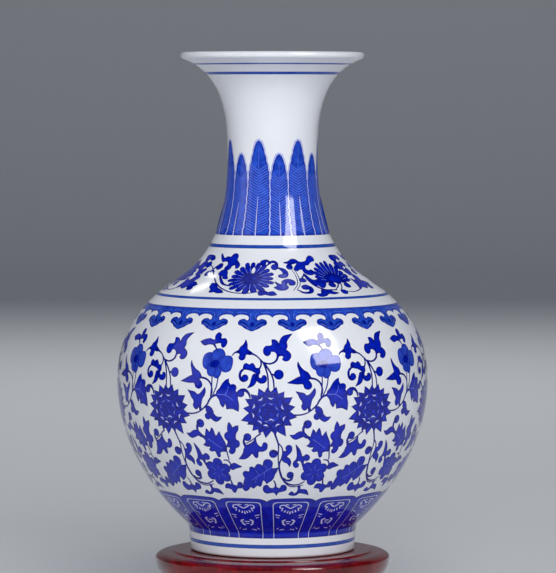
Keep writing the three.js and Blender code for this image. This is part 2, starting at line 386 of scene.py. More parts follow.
def near(points, outline, margin):
    """The numbers of the points within a margin of an outline's box."""
    low, high = outline.min(axis=0) - margin, outline.max(axis=0) + margin
    return np.nonzero(((points > low) & (points < high)).all(axis=1))[0]


def distance_to(points, outline, limit=None):
    """How far each point lies from an outline, leaving out the sides that run along x = +-limit."""
    a, b = outline, np.roll(outline, -1, axis=0)
    if limit is not None:
        drawn = ~((np.abs(np.abs(a[:, 0]) - limit) < 1e-6) & (np.abs(a[:, 0] - b[:, 0]) < 1e-6))
        a, b = a[drawn], b[drawn]
    along = b - a
    share = ((points[:, None] - a) * along).sum(axis=2) / np.maximum((along ** 2).sum(axis=1), 1e-12)
    foot = a + np.clip(share, 0, 1)[..., None] * along
    return np.sqrt(((points[:, None] - foot) ** 2).sum(axis=2)).min(axis=1)


class Band:
    """A band of painting in equal repeats. x runs round it and y up it, in millimetres; later shapes
    lie over earlier ones, and the tone "bare" leaves the white."""

    GATHER = 1.0  # mm from an edge in to where the pigment has thinned out
    LIGHT = ("vein", "pale")  # marks so faint that no pigment gathers along them

    def __init__(self, name, repeats, radius, start, facing=0.0, grain=1.3, swell=0.0):
        self.name, self.repeats, self.radius, self.start = name, repeats, radius, start
        self.facing, self.grain, self.swell = radians(facing), grain, swell
        self.width = 2 * pi * radius / repeats
        self.shapes = []

    def fill(self, outline, tone="deep"):
        """Fills an outline given point by point."""
        self.shapes.append((np.asarray(outline, dtype=float), tone))

    def leaf(self, *points, tone="deep"):
        """Fills a rounded outline through a few points, grown by the fullness of the brush."""
        line = smooth(points)
        before, after = np.roll(line, 1, axis=0), np.roll(line, -1, axis=0)
        turning = np.sign((before[:, 0] * line[:, 1] - before[:, 1] * line[:, 0]).sum())
        way = after - before
        way /= np.maximum(np.linalg.norm(way, axis=1), 1e-9)[:, None]
        self.fill(line + turning * self.swell * np.stack([way[:, 1], -way[:, 0]], axis=1), tone)

    def stem(self, *points, width=(0.9,), tone="deep"):
        """A brush stroke through a few points."""
        self.fill(brush(smooth(points, closed=False), [wide * (1 + self.swell / 2) for wide in width]), tone)

    def ball(self, x, y, radius, tone="deep"):
        """A round dot."""
        reach = radius + self.swell
        self.fill(arc((x, y), reach, reach, 0, 337.5, 16), tone)

    def finger(self, centre, bearing, inner, outer, narrow, wide, tone="deep"):
        """A blunt petal that widens outwards from a centre."""
        way = np.array([cos(radians(bearing)), sin(radians(bearing))])
        line = np.array(centre) + np.linspace(inner, outer, 9)[:, None] * way
        self.fill(brush(line, (narrow, wide, wide * 0.92)), tone)

    def cell(self):
        """One repeat as triangles: points, how far each lies from an edge (0 to 1), and faces by tone."""
        half = self.width / 2
        shapes = []
        for outline, tone in self.shapes:
            for shift in (-self.width, 0.0, self.width):
                moved = outline + (shift, 0.0)
                if moved[:, 0].max() > -half and moved[:, 0].min() < half:
                    shapes.append((moved, tone))
        low = min(outline[:, 1].min() for outline, _ in shapes) - 1
        high = max(outline[:, 1].max() for outline, _ in shapes) + 1
        ladder = np.arange(low, high + self.grain, self.grain)
        sides = [np.stack([np.full(len(ladder), x), ladder], axis=1) for x in (-half, half)]
        rows = np.arange(low, high, self.grain * 0.87)
        across = np.arange(-half + self.grain / 2, half - self.grain / 4, self.grain)
        grid = np.array([(x + (i % 2) * self.grain / 2, y) for i, y in enumerate(rows) for x in across])
        grid = grid[grid[:, 0] < half - self.grain / 3]
        covered = np.zeros(len(grid), dtype=bool)
        room = np.full(len(grid), self.grain)
        for outline, tone in shapes:
            chosen = near(grid, outline, self.grain)
            if len(chosen):
                covered[chosen] |= inside(grid[chosen], outline)
                room[chosen] = np.minimum(room[chosen], distance_to(grid[chosen], outline))
        grid = grid[covered & (room > self.grain * 0.4)]

        points, edges = [], []
        for outline in [shape for shape, _ in shapes] + sides:
            first = len(points)
            points.extend(outline)
            edges += [(first + i, first + i + 1) for i in range(len(outline) - 1)]
            if outline is not sides[0] and outline is not sides[1]:
                edges.append((first + len(outline) - 1, first))
        points.extend(grid)
        cut = delaunay_2d_cdt([Vector(p) for p in points], edges, [], 0, 1e-4, False)
        places = np.array([tuple(p) for p in cut[0]])
        faces = np.array([face for face in cut[2] if len(face) == 3])
        depth = self.depths(places, shapes)
        middles = places[faces].mean(axis=1)
        tones = np.full(len(faces), "bare", dtype=object)
        for outline, tone in shapes:
            chosen = near(middles, outline, 0)
            if len(chosen):
                tones[chosen[inside(middles[chosen], outline)]] = tone
        within = np.abs(middles[:, 0]) < half
        painted = {tone: faces[(tones == tone) & within] for tone in sorted(set(tones)) if tone != "bare"}
        return places, depth, painted, (low, high)

    def depths(self, points, shapes):
        """How far each point lies from the nearest edge that shows, from 0 at the edge to 1 where the
        pigment has thinned out. A shape hides the edges under it."""
        room = np.full(len(points), self.GATHER)
        for outline, tone in shapes:
            if tone in self.LIGHT:
                continue
            chosen = near(points, outline, self.GATHER)
            if len(chosen):
                under = chosen[inside(points[chosen], outline)]
                room[under] = self.GATHER
                away = distance_to(points[chosen], outline, self.width / 2)
                room[chosen] = np.minimum(room[chosen], away)
        return room / self.GATHER


def lay_film(band, outline, lift, tone, cell):
    """Wraps one tone of a band round the vase as a thin film in its own cobalt and returns the object."""
    places, depth, painted, (low, high) = cell
    faces = painted[tone]
    used = np.unique(faces)
    slim = np.full(len(places), -1)
    slim[used] = np.arange(len(used))
    faces, places, depth = slim[faces], places[used], depth[used]
    half, count = band.width / 2, len(places)
    number = np.arange(band.repeats * count).reshape(band.repeats, count)
    left = np.nonzero(np.abs(places[:, 0] + half) < 1e-3)[0]
    right = np.nonzero(np.abs(places[:, 0] - half) < 1e-3)[0]
    for one in right:
        match = left[np.abs(places[left, 1] - places[one, 1]) < 2e-3]
        if len(match):
            for k in range(band.repeats):
                number[k, one] = (k + 1) % band.repeats * count + match[0]
    turns = (places[:, 0] + band.width * np.arange(band.repeats)[:, None]) / band.radius
    angles = band.facing + turns.ravel()
    along = np.tile(band.start + places[:, 1], band.repeats) * MM
    spots, outward = outline.at(along)
    radius = spots[:, 0] + outward[:, 0] * lift
    height = spots[:, 1] + outward[:, 1] * lift + outline.bottom
    verts = np.stack([radius * np.sin(angles), -radius * np.cos(angles), height], axis=1)
    normals = np.stack([outward[:, 0] * np.sin(angles), -outward[:, 0] * np.cos(angles), outward[:, 1]],
                       axis=1)
    corners = (faces[None] + (np.arange(band.repeats) * count)[:, None, None]).reshape(-1, 3)
    welded = number.reshape(-1)[corners]
    whole = (welded != np.roll(welded, 1, axis=1)).all(axis=1)
    corners, welded = corners[whole].reshape(-1), welded[whole].reshape(-1)
    kept = np.unique(welded)
    compact = np.full(len(verts), -1)
    compact[kept] = np.arange(len(kept))
    triangles = compact[welded].reshape(-1, 3)
    around = band.width * band.repeats / band.radius
    uvs = np.stack([(turns.ravel()[corners] + band.width / 2 / band.radius) / around,
                    (along[corners] / MM - band.start - low) / (high - low)], axis=1)
    name = f"{band.name}_{tone}"
    made = finish_mesh(name, verts[kept], triangles.tolist(), normals[welded], uvs, COBALT[tone]())
    core = made.data.attributes.new("core", "FLOAT", "POINT")
    core.data.foreach_set("value", np.tile(depth, band.repeats)[kept].astype(np.float32))
    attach(made, "vase")
    return made


def paint(band):
    """Cuts a band's shapes once and lays a film of each tone round the vase."""
    outline = vase_outline()
    cell = band.cell()
    for tone in cell[2]:
        lay_film(band, outline, FILM_LIFT, tone, cell)


FILM_LIFT = 0.06 * MM  # the colour shows through the glaze, a hair above the white wall's mesh


# ---------------------------------------------------------------- the lotus scroll

def petal(centre, angle, inner, outer, width, lean=0.0):
    """A pointed petal that grows outwards from a centre."""
    way = np.array([cos(radians(angle)), sin(radians(angle))])
    aside = np.array([-way[1], way[0]])

    def spot(out, over):
        return tuple(np.array(centre) + way * out + aside * over)

    middle = inner + (outer - inner) * 0.55
    return smooth([spot(inner, -width * 0.3), spot(middle, -width / 2), (*spot(outer, lean), 1),
                   spot(middle, width / 2), spot(inner, width * 0.3)])


def lotus_flower(band):
    """A lotus seen from above: pointed petals in three rings round a small heart."""
    tips = ((-7, 15.4), (-1.4, 16), (4.4, 16.4), (9.6, 13.4), (15, 9.6), (16.7, 3.4), (18, -3.6),
            (14.8, -9), (11, -16.4), (4.2, -15.2), (-2.6, -17.4), (-7.2, -14.6), (-11.4, -12.6),
            (-14.8, -8.4), (-18.8, -5.8), (-17.2, 2.4), (-15.8, 8.4), (-12.2, 11.6))
    polar = [(np.degrees(np.arctan2(y, x)), np.hypot(x, y)) for x, y in tips]
    for angle, reach in polar:
        band.fill(petal((0, 0), angle, 3, reach, 6.6))
    for i in range(12):
        band.fill(petal((0, 0), 30 * i + 15, 2, 12.6, 6.4))
    for i in range(8):
        band.fill(petal((-0.5, -0.5), 45 * i + 8, 0.5, 9.2, 5.8))
    for i in range(8):
        way = np.array([cos(radians(45 * i + 30)), sin(radians(45 * i + 30))])
        band.fill(crescent(*(way * 5.9 - 0.5), 1.5, 0.9, 45 * i + 120), "vein")
    for i in range(5):
        band.fill(petal((-0.8, -1), 72 * i + 50, 0, 5.0, 3.8))
    for x, y in ((-5.4, 8.1), (0.8, 8.7), (-9.9, 3.6), (8.1, 3.0), (-10.4, -2.2), (9.2, -4.2), (-6.0, -6.5),
                 (5.0, -8.4), (0.8, -4.9), (-2.3, -8.7)):
        band.fill(crescent(x, y, 1.8, 1.2, np.degrees(np.arctan2(y, x)) + 90), "pale")


def crescent(x, y, reach, thick, lean):
    """A small moon with its hollow side down, turned by an angle in degrees."""
    c, s = cos(radians(lean)), sin(radians(lean))
    shape = ((-reach, -thick / 2, 1), (0, thick / 2), (reach, -thick / 2, 1), (0, -thick / 3))
    return smooth([(x + c * p[0] - s * p[1], y + s * p[0] + c * p[1], *p[2:]) for p in shape])


def peony(band):
    """A small flower with five round petals in thinned cobalt, and its three-lobed leaf."""
    band.leaf((-38, 27), (-44, 28), (-45.2, 32), (-43.5, 36.8), (-39, 37.5), (-36, 33), tone="wash")
    band.leaf((-38.5, 33), (-39, 37.5), (-36.5, 39.9), (-32, 39.9), (-29.8, 37), (-30.2, 33), tone="wash")
    band.leaf((-33, 28), (-29.5, 25.3), (-26, 26.2), (-24.4, 30), (-25.2, 35.1), (-30, 35.4),
              (-33.5, 33), tone="wash")
    band.leaf((-35.5, 29), (-32, 27.2), (-32.4, 23.2), (-34.3, 21.3), (-37.5, 23), (-38, 27), tone="wash")
    band.leaf((-37, 29.5), (-36, 25.5), (-37.8, 22.4), (-40.6, 23.4), (-41.4, 27.5), (-40, 30.2),
              tone="wash")
    band.leaf((-38, 31.4), (-36.2, 32.6), (-33.8, 31.6), (-34.2, 29.2), (-36.4, 28.2), (-38.2, 29.3),
              tone="deep")
    band.ball(-38.2, 30, 1.4)
    band.stem((-36, 39.6), (-37.1, 41.4), (-38.6, 43.2), width=(0.7, 1.1, 1.6))
    band.leaf((-39.2, 43.1), (-42, 43.2), (-45.5, 42.4), (-49.2, 44.9, 1), (-46, 46.4), (-42, 47.1),
              (-38.6, 46.4), (-38.5, 49.2), (-36.4, 51.4), (-34.3, 50), (-34, 47.3), (-31, 47.4),
              (-29.4, 45.2), (-30, 42.6), (-32, 41.2), (-33.2, 42.4), (-33.4, 43.9), (-36, 44))
    for left, right in (((34.3, 22), (33.3, 9.5)), ((38.5, 22), (34.5, 9.7))):
        middle = (left[0] - 0.2 if left[0] < 36 else 37.2, 15.5)
        band.stem(left, middle, right, width=(0.75, 0.7))


def upper_leaves(band):
    """The leaves and curls between the flowers, above the lotus."""
    # a small bird-shaped leaf and the stems that lead to the lotus
    band.leaf((-16.3, 46.8, 1), (-15, 43), (-14.9, 40.8), (-12.5, 38.7), (-11.2, 37.4), (-13, 36.7),
              (-15.4, 36.9), (-16.4, 34), (-18.4, 33.1), (-20.3, 34.6), (-19.8, 37), (-22.3, 38.6),
              (-20.8, 39.6), (-19.8, 41.6), (-17.8, 43.4))
    band.stem((-21, 38.4), (-23, 38), (-25, 36), width=(1.3, 0.6))
    band.stem((-13, 37.8), (-9, 36.2), (-6, 33.6), (-4, 31.5), (-2.4, 30.6), width=(1.2, 0.8, 1.1))
    band.stem((-6, 33.5), (-5.4, 31), (-6, 28.6), (-8.3, 26), width=(0.8, 1.2))
    band.stem((-4, 31.6), (-2.5, 28), (-1.3, 24), (-0.7, 14.5), width=(1.1, 0.8))
    band.stem((-2.2, 29.6), (0.6, 25.4), (2.2, 21.6), (3, 14.5), width=(1.1, 0.8))
    # a small leaf with three curls
    band.leaf((-17, 29.4), (-15.6, 31.1), (-13, 30.3), (-11.2, 31.2), (-9.8, 30), (-8.8, 28.2),
              (-6.8, 27.9), (-7, 24), (-9, 25), (-11.8, 26.5), (-15, 27.2), (-16.8, 27.6))
    band.stem((-16.2, 27.8), (-18.6, 25.6), (-19.1, 22.8), (-18, 20.4), (-15.8, 20), (-14.4, 21.2),
              width=(1.1, 1.6, 1.6, 1.2))
    band.ball(-15.8, 21.7, 2.1)
    band.leaf((-9.8, 24.4), (-11.6, 21.2), (-12.4, 18.2), (-14.2, 15.2, 1), (-9.6, 17.6), (-8.4, 19.6),
              (-7.6, 23.6))
    band.leaf((-8.2, 23.6), (-8.3, 20.8), (-6.4, 18.7), (-4, 18.5), (-2.1, 19.8), (-1.8, 21.6),
              (-2.8, 23.4), (-4.3, 23.3), (-5, 21.9), (-6.6, 21.9), (-7.3, 24))
    # an iris-shaped leaf with its curls
    band.leaf((1.4, 46.8, 1), (3.2, 46.9), (5.6, 45.3), (6.3, 43.7, 1), (7.1, 46.5), (9.2, 49.2),
              (12.2, 50.2), (15.8, 50.9, 1), (13.2, 48), (11.6, 45.3), (11.9, 42.4), (11, 40, 1),
              (12.4, 39), (14.1, 36.9), (13.6, 34.3), (11.8, 32.8), (9.6, 32.8), (8.4, 34), (9.3, 35, 1),
              (8.4, 36), (7, 36), (5.2, 35.4), (4.6, 37.4), (3, 38.8), (0.9, 38.8, 1), (0.5, 37.2),
              (-1.6, 36), (-3.7, 37.4), (-4.1, 40.2), (-2.5, 42.4), (-0.4, 42.5), (1.1, 42.9))
    band.stem((5.6, 36), (4.4, 33), (2.4, 31.5), (-0.2, 30.9), (-4, 31.8), width=(1.4, 0.8))
    band.stem((1.2, 24.4), (3.4, 23.6), (5.4, 23.8), width=(0.8, 1.6))
    band.ball(6, 24, 3.0)
    # a star-shaped leaf on a hanging stem
    band.leaf((18.5, 32.2, 1), (20, 29.2), (22.4, 26.6), (25, 25), (27, 21.8, 1), (25.2, 20.2, 1),
              (26.8, 18.4), (27.2, 16), (25.4, 14.4), (22.8, 15.1), (21.6, 17.6), (18, 17.8),
              (11.4, 18.6, 1), (14.6, 20.2), (17.6, 21.8), (20, 22.8, 1), (19, 26.6), (18.2, 29.6))
    band.stem((26.4, 21.5), (30, 20.7), (32.6, 18.8), (34.2, 15), (34.3, 12), (33.5, 9.8), width=(1.2, 0.8))


def side_leaves(band):
    """The leaves level with the lotus and the stem that joins one lotus to the next."""
    band.stem((15, -2), (20, -2), (24, -1), (28, 1.6), (31, 4.6), (32.6, 7.4), (34.6, 9.5), (38, 10.8),
              width=(1.0, 0.8, 1.1, 1.4))
    band.stem((29, 2.3), (31.4, 3), (33.4, 1.8), (34.6, -0.4), width=(0.9, 1.2))
    band.leaf((-34.6, 12.2), (-32.3, 15.1), (-30.5, 18), (-28.6, 20), (-26.4, 21.2, 1), (-26.2, 18.6),
              (-25.2, 17.2, 1), (-23.4, 17.6), (-21.8, 16.8), (-21.4, 15.2), (-22, 13.7, 1), (-20.5, 11.4),
              (-20.4, 8), (-19.8, 5), (-20, 0.2, 1), (-22, 1.1), (-24, 1.9), (-26, 1.9), (-28, 1.6, 1),
              (-28.2, 3.8), (-29, 5.8, 1), (-29.4, 4), (-30.4, 2.6, 1), (-31.8, 4.4), (-33, 7.8),
              (-34.6, 10.1))
    band.stem((-33.6, 11), (-28, 10.4), (-23.6, 7.4), width=(0.35, 0.22), tone="vein")
    band.stem((-29, 10.6), (-27, 14), (-26.6, 16.4), width=(0.3, 0.2), tone="vein")
    # a hooked tendril that springs from the lotus
    band.stem((-12.4, 9.2), (-13.4, 12), (-15.6, 13.9), (-18, 13.6), width=(0.9, 1.6, 2.6))
    band.ball(-18.5, 11.9, 2.3)
    # a leaf like an open tulip
    band.leaf((16.8, 13.2, 1), (19, 12.6), (22, 12), (23.9, 10.4, 1), (25.6, 11), (27.6, 13), (29.3, 15.2, 1),
              (29.8, 12.8), (29.2, 10.4), (27.6, 8), (26.8, 5), (26.4, 2.4), (27.2, 0.6, 1), (25.2, 0.4, 1),
              (24.5, 2.3), (23.6, 1.2), (22.4, 1), (21, 2.3), (20.6, 3.8), (21.2, 5.4), (20.8, 7),
              (19.5, 8.6), (18.4, 11))
    # a small leaf with one ball
    band.leaf((30.4, 2.7), (33, 2.4), (34.3, 0.5), (35.5, -2), (37, -3.4), (40.7, -3.7, 1), (38.5, -6),
              (36.4, -6.8), (34.4, -5.9), (32.8, -4.5), (31, -1.6), (29.8, 0.4))
    band.ball(31, -3.3, 2.1)
    # a curl and a pointed leaf that feed the thistle leaf
    band.ball(25, -8.3, 2.7)
    band.stem((23.4, -8.4), (22.3, -11), (22.8, -14), (25.2, -16.6), (28.6, -18.6), width=(1.8, 1.4, 2.2))
    band.leaf((13.4, -15.3, 1), (16, -15.3), (18.5, -13.7), (20.5, -13), (22.6, -13.4), (25.4, -17.8),
              (22.5, -16.7), (20, -17.6), (17.5, -18.4), (15, -17.2))


def lower_leaves(band):
    """The leaves, curls and rosettes under the lotus."""
    # a thistle leaf with deep teeth
    band.leaf((27.2, -17.4), (28, -14.8), (28.9, -11.6, 1), (30.2, -13), (31, -14.4, 1), (32, -12.6),
              (33, -10.8, 1), (34.2, -13), (34.8, -15.4), (35.6, -16.6, 1), (37, -14.8), (38.1, -13.2, 1),
              (38.8, -15.4), (40.4, -18.6), (41.6, -21.2), (42.2, -24), (41.8, -26.9), (38.6, -27.3),
              (37.2, -28), (36.9, -30.6), (35.6, -31.5), (34.4, -29.8), (33.4, -27.2), (30.4, -27.3),
              (29.1, -26.2, 1), (30.2, -24.2), (28, -24.1), (25.2, -23, 1), (27, -21.6), (27.4, -19.6, 1),
              (26.2, -18.2))
    band.stem((29.4, -18.6), (33.6, -21.4), (38.6, -25), width=(0.28, 0.2), tone="vein")
    band.stem((41.6, -24.2), (43.4, -23.4), (46.4, -21.4), width=(0.8, 1.4))
    band.stem((41.6, -25.6), (42.2, -28.4), (42.8, -33), width=(0.9, 0.8))
    # an upright leaf with three lobes, on a hanging stem
    band.leaf((-26.9, -6.8, 1), (-25.2, -9.2), (-24.8, -10.6, 1), (-22.8, -9.6), (-20.7, -9, 1),
              (-20.9, -12), (-22.3, -14.1, 1), (-22.9, -16.6), (-22.6, -18.6, 1), (-20.8, -19.8),
              (-20.5, -22.2), (-21.6, -23.8), (-23.4, -24.3, 1), (-23.7, -26.2), (-25, -28.1), (-27, -28.8),
              (-28.4, -27.4), (-27.4, -24.5), (-29.4, -23.2), (-28.5, -20), (-30, -18.1), (-30.5, -16),
              (-29.6, -14.4), (-28.1, -13.4, 1), (-28, -10))
    # a small plain leaf on the same stem
    band.leaf((-29.4, -38), (-27.4, -36), (-25.4, -35.4), (-23.4, -36.4), (-20.2, -38, 1), (-23, -38.9),
              (-25, -39.4), (-27.4, -40.5), (-29.2, -39.6))
    band.stem((-33, -33.4), (-30.6, -33.6), (-29, -35), (-28.4, -36.8), width=(0.8, 1.1))
    # a curled leaf below the lotus, on its left
    band.ball(-14.8, -16.8, 2.5)
    band.stem((-16.9, -17.4), (-17.4, -20), (-16.6, -23), width=(1.2, 1.8))
    band.stem((-16, -21.2), (-13, -19.5), (-10, -17.5), (-8, -15.8), (-6, -14.6), width=(0.6, 0.9))
    band.leaf((-9.2, -17.3, 1), (-8.9, -20), (-7.6, -22.4), (-6, -23.4), (-4.9, -22.5), (-4.5, -21.1),
              (-3.2, -20.3), (-1.9, -21.1), (-1.5, -23), (-2.2, -25.2), (-4.2, -26.5), (-7.3, -26.6, 1),
              (-8, -28), (-8, -30), (-9, -31.3), (-10.4, -30.6), (-11.4, -28.9, 1), (-12.6, -28.4),
              (-13.7, -29.7), (-15.7, -31.4), (-18, -32.3), (-21.9, -32.3, 1), (-20.2, -30.4), (-18.6, -28),
              (-17.5, -24.6), (-15.6, -22.3), (-13.4, -21.4), (-11, -19.6))
    # the double stem that hangs from the lotus and sweeps to the rosette
    band.stem((3, -13), (4.6, -17.6), (5.8, -21.4), (5.9, -30), (6.1, -34.4), (6.6, -39),
              width=(1.3, 0.8, 0.8))
    band.stem((5.6, -20.6), (8.4, -24), (9, -27.6), (8.4, -31.4), (7, -35), (6.8, -39), (7.6, -42.4),
              (9, -46.2), (11.2, -49.2), (14.4, -51.4), (18, -52.2), (22, -51.9), (26.5, -49.8),
              width=(0.8, 0.9, 1.5, 1.2, 0.8))
    band.stem((10.6, -49.6), (15, -53), (20, -53.6), (26, -52.4), width=(0.5, 0.8, 0.5))
    band.ball(2.5, -28.3, 2.8)
    band.stem((2.6, -26.4), (4.4, -26.6), (5.8, -28), width=(1.4, 0.9))
    # a curl with a pointed leaf, right of the stem
    band.leaf((10.9, -24.2), (12.3, -22.4), (14.2, -22.6), (15.3, -24.6), (14.8, -27), (13.2, -29),
              (12, -30.2), (13.8, -31.8), (15.1, -34.6), (14.3, -38, 1), (12.4, -35.4), (10, -34.3),
              (8.6, -32.8), (8.6, -30), (9.4, -26.6), (11.3, -26.3))
    # a pointed leaf between curls
    band.leaf((17.7, -21.8, 1), (19.6, -24), (21, -25.8), (22, -28.2), (22.7, -30.4, 1), (24, -30.2),
              (25.2, -29.1), (27, -29.5), (28.3, -31.4), (27.6, -33.2), (26, -33.7), (24.6, -33.2, 1),
              (24.2, -35.2), (25, -37.8), (23.8, -38, 1), (23, -36), (22, -34.1), (20.4, -33.6),
              (19.4, -34.6), (20.6, -35.8), (20.6, -37.8), (18.8, -38.7), (17, -37.2), (16.8, -34.6),
              (18.4, -32.8), (19, -30.8), (18.9, -28), (18.4, -25))
    band.ball(15.2, -44.3, 2.5)
    band.stem((16.6, -45.6), (16.2, -47.8), (14.2, -48.6), (12.2, -48.2), (10.4, -46.6),
              width=(2.0, 1.5, 0.9))


def rosette(band):
    """A round flower with six lobes, in strong cobalt."""
    turns = np.radians(np.arange(0, 360, 4))
    reach = 7.0 + 3.4 * np.abs(np.sin(3 * (turns - radians(54)))) ** 0.6
    band.fill(np.stack([33 + reach * np.cos(turns), -42.4 + reach * np.sin(turns)], axis=1))
    for i in range(6):
        way = np.array([cos(radians(60 * i + 84)), sin(radians(60 * i + 84))])
        band.stem(*(tuple(np.array([33, -42.4]) + way * out) for out in (2.4, 4, 6)), width=(0.22, 0.15),
                  tone="vein")


def oak_leaf(band):
    """A large lobed leaf on its side."""
    band.leaf((-2, -32.4), (0.6, -33), (2, -35), (1.6, -37.6), (1.4, -39, 1), (4, -39), (6.2, -38.4, 1),
              (5.2, -41), (3.6, -44), (2.6, -46.8), (1, -48.6), (-1, -50), (-2.6, -51.1, 1), (-3.9, -49),
              (-5, -48, 1), (-6, -50), (-6.8, -52.4), (-8, -53.4), (-9.4, -52.3, 1), (-11, -53.2),
              (-13.4, -54.9), (-15, -53.5, 1), (-16.2, -54.6), (-18, -56.5), (-20.4, -57.1), (-21.8, -55.6),
              (-21, -52), (-19.8, -48.4), (-19, -46.6, 1), (-20, -44.8), (-20, -42.6), (-18.5, -41.4),
              (-15.6, -41.8, 1), (-14.8, -40.4), (-14.6, -38.6), (-13.4, -37.9), (-11, -39, 1),
              (-10.2, -37.2), (-8.5, -35.9), (-6.6, -36.2), (-5, -37.4, 1), (-4.6, -34.8), (-3.6, -33))
    band.stem((2, -38), (-5, -42.6), (-14, -48.4), width=(0.28, 0.18), tone="vein")
    for near_stem, far in (((-2, -40.6), (-3.6, -36.6)), ((-8, -44.4), (-10.6, -40.2)),
                           ((-4, -42), (-4.4, -46.4)), ((-10, -45.8), (-11.4, -50.2))):
        band.stem(near_stem, far, width=(0.22, 0.15), tone="vein")


def bottom_leaves(band):
    """The small leaves that close the scroll at the bottom."""
    band.stem((-31, -47.6), (-30.2, -50.4), (-30, -53), width=(0.9, 1.5))
    band.leaf((-36.6, -55.2, 1), (-35.6, -52.4), (-33.2, -51.4), (-31, -52.2), (-29.2, -52.2), (-26.4, -53),
              (-24.8, -50.3), (-22.3, -50.4), (-21.6, -52.6), (-22.8, -54.8), (-26, -55.2), (-27.4, -56.8),
              (-28.6, -58.8, 1), (-30.6, -58.4), (-31.4, -56.4), (-33.6, -55.4))
    band.stem((3, -48.6), (4.1, -51), (4.4, -54), width=(0.8, 1.4))
    band.leaf((-5.6, -55), (-4.5, -52.7), (-2, -52.2), (-0.5, -54), (1.8, -54.9), (4.4, -53.6), (7.4, -54.8),
              (9.2, -52.4), (11.4, -52.2), (13.1, -54), (12.4, -56.6), (9.4, -57.6), (7, -58.2),
              (5.2, -60.8, 1), (3, -58.4), (0.4, -58.6), (-2.6, -59), (-5, -57.6))
    band.leaf((15, -60.2, 1), (16.8, -58), (18.5, -57.9), (19.6, -59.2), (21.4, -58.4), (22.5, -56),
              (22.3, -52.8), (23.7, -52.8), (24.4, -55.6), (27, -55.9), (29.5, -56.5), (31, -58.4),
              (32.2, -61, 1), (29, -59.8), (26.4, -59.4), (24.2, -59), (22, -60.6), (19, -61.1))


def lotus_scroll():
    """The wide band of lotus flowers and scrolling leaves round the belly."""
    band = Band("lotus_scroll", 9, 103.2, 114, facing=-1.0, swell=0.22)
    peony(band)
    upper_leaves(band)
    side_leaves(band)
    lower_leaves(band)
    rosette(band)
    oak_leaf(band)
    bottom_leaves(band)
    lotus_flower(band)
    return band


# ---------------------------------------------------------------- the borders

def both_sides(points):
    """A line and then its mirror image in x, back to the start."""
    return [*points, *[(-p[0], *p[1:]) for p in reversed(points) if abs(p[0]) > 1e-9]]


def cloud_collar():
    """A border of hanging cloud heads on a solid edge."""
    band = Band("cloud_collar", 22, 88, 174, facing=8.2, grain=1.2)
    half = band.width / 2
    band.fill(smooth(both_sides([
        (half, 10.2, 1), (half, 3, 1), (11, 4.6), (8.4, 5.3), (5.4, 5), (3.2, 3.9), (2.6, 2.3), (3.2, 1),
        (4.2, 1.1), (5, 1.9), (6.8, 1.8), (8.6, 0.9), (9.3, -0.8), (8.7, -2.6), (6.6, -3.6), (4.4, -5.4),
        (2, -6.6), (0, -7.4)])), "bright")
    band.leaf((0, -0.9, 1), (1.1, -2.2), (0, -3.5, 1), (-1.1, -2.2))
    for sign in (-1, 1):
        band.stem((sign * 7.4, -0.8), (sign * 4.6, -2), (sign * 2.6, -4.2), width=(0.35, 0.3))
        band.stem((sign * 2.4, 6.8), (sign * 1.4, 4.6), (sign * 1.5, 2.4), width=(0.25, 0.35, 0.25),
                  tone="vein")
        band.stem((sign * 6.6, -1.9), (sign * 4, -3.3), (sign * 2, -5.2), width=(0.25, 0.3), tone="vein")
        band.stem((sign * 11.4, 6.8), (sign * 8, 7.4), (sign * 4.6, 7), width=(0.25, 0.3, 0.25), tone="vein")
    return band


def shoulder_scroll():
    """A narrow scroll of two kinds of flower round the shoulder."""
    band = Band("shoulder_scroll", 3, 58, 216, facing=-1.0, grain=1.2, swell=0.55)
    shoulder_vine(band)
    shoulder_leaves_left(band)
    shoulder_leaves_right(band)
    spread_flower(band)
    upright_flower(band)
    return band


def spread_flower(band):
    """A wide flower with many finger petals round a bare drop."""
    middle = (-12.5, -2.6)
    band.ball(*middle, 9.8)
    for i in range(19):
        bearing = 360 / 19 * i + 95
        reach = 13.3 - 0.5 * cos(radians(2 * bearing)) + (0.6 if i % 2 else -0.4)
        band.finger(middle, bearing, 3, reach, 1.6, 3.9)
    for i in range(9):
        band.fill(petal(middle, 40 * i + 90, 0.4, 6.6, 4.4))
    for i in range(19):
        bearing = 360 / 19 * (i + 0.5) + 95
        band.finger(middle, bearing, 5.6 + (i % 3) * 0.9, 10.6, 0.3, 0.5, "vein")
    for i in range(6):
        band.fill(petal(middle, 60 * i + 60, 0, 4.6, 3.6))
    band.fill(smooth([(-12.4, 8.6, 1), (-11.1, 5.4), (-12.4, 2.6), (-13.7, 5.4)]), "bare")


def upright_flower(band):
    """A flower seen from the side: petals fan upwards from a pointed cup on a double stem."""
    root = (43.4, -6)
    band.fill(arc(root, 10.2, 13.2, -8, 188, 25))
    for i in range(12):
        bearing = 4 + 172 / 11 * i
        reach = 11.6 + 5.4 * sin(radians(bearing)) + (0.6 if i % 2 else -0.4)
        band.finger(root, bearing, 3, reach, 1.6, 4.0)
    for i in range(11):
        bearing = 4 + 172 / 11 * (i + 0.5)
        reach = 9.6 + 5 * sin(radians(bearing))
        band.finger(root, bearing, 6.4 + (i % 3) * 0.8, reach, 0.3, 0.5, "vein")
    for bearing in (150, 30, 115, 65, 90):
        band.fill(petal(root, bearing, 0.6, 9, 5.4))
    band.leaf((38.6, -4.4), (43.4, -9.2, 1), (48.2, -4.4), (43.4, 0.4, 1))
    band.stem((43, -8), (41.2, -11.4), (38, -14.6), width=(0.9, 0.5))
    band.stem((45, -8), (43.4, -12.4), (40.4, -16), width=(0.8, 0.4))


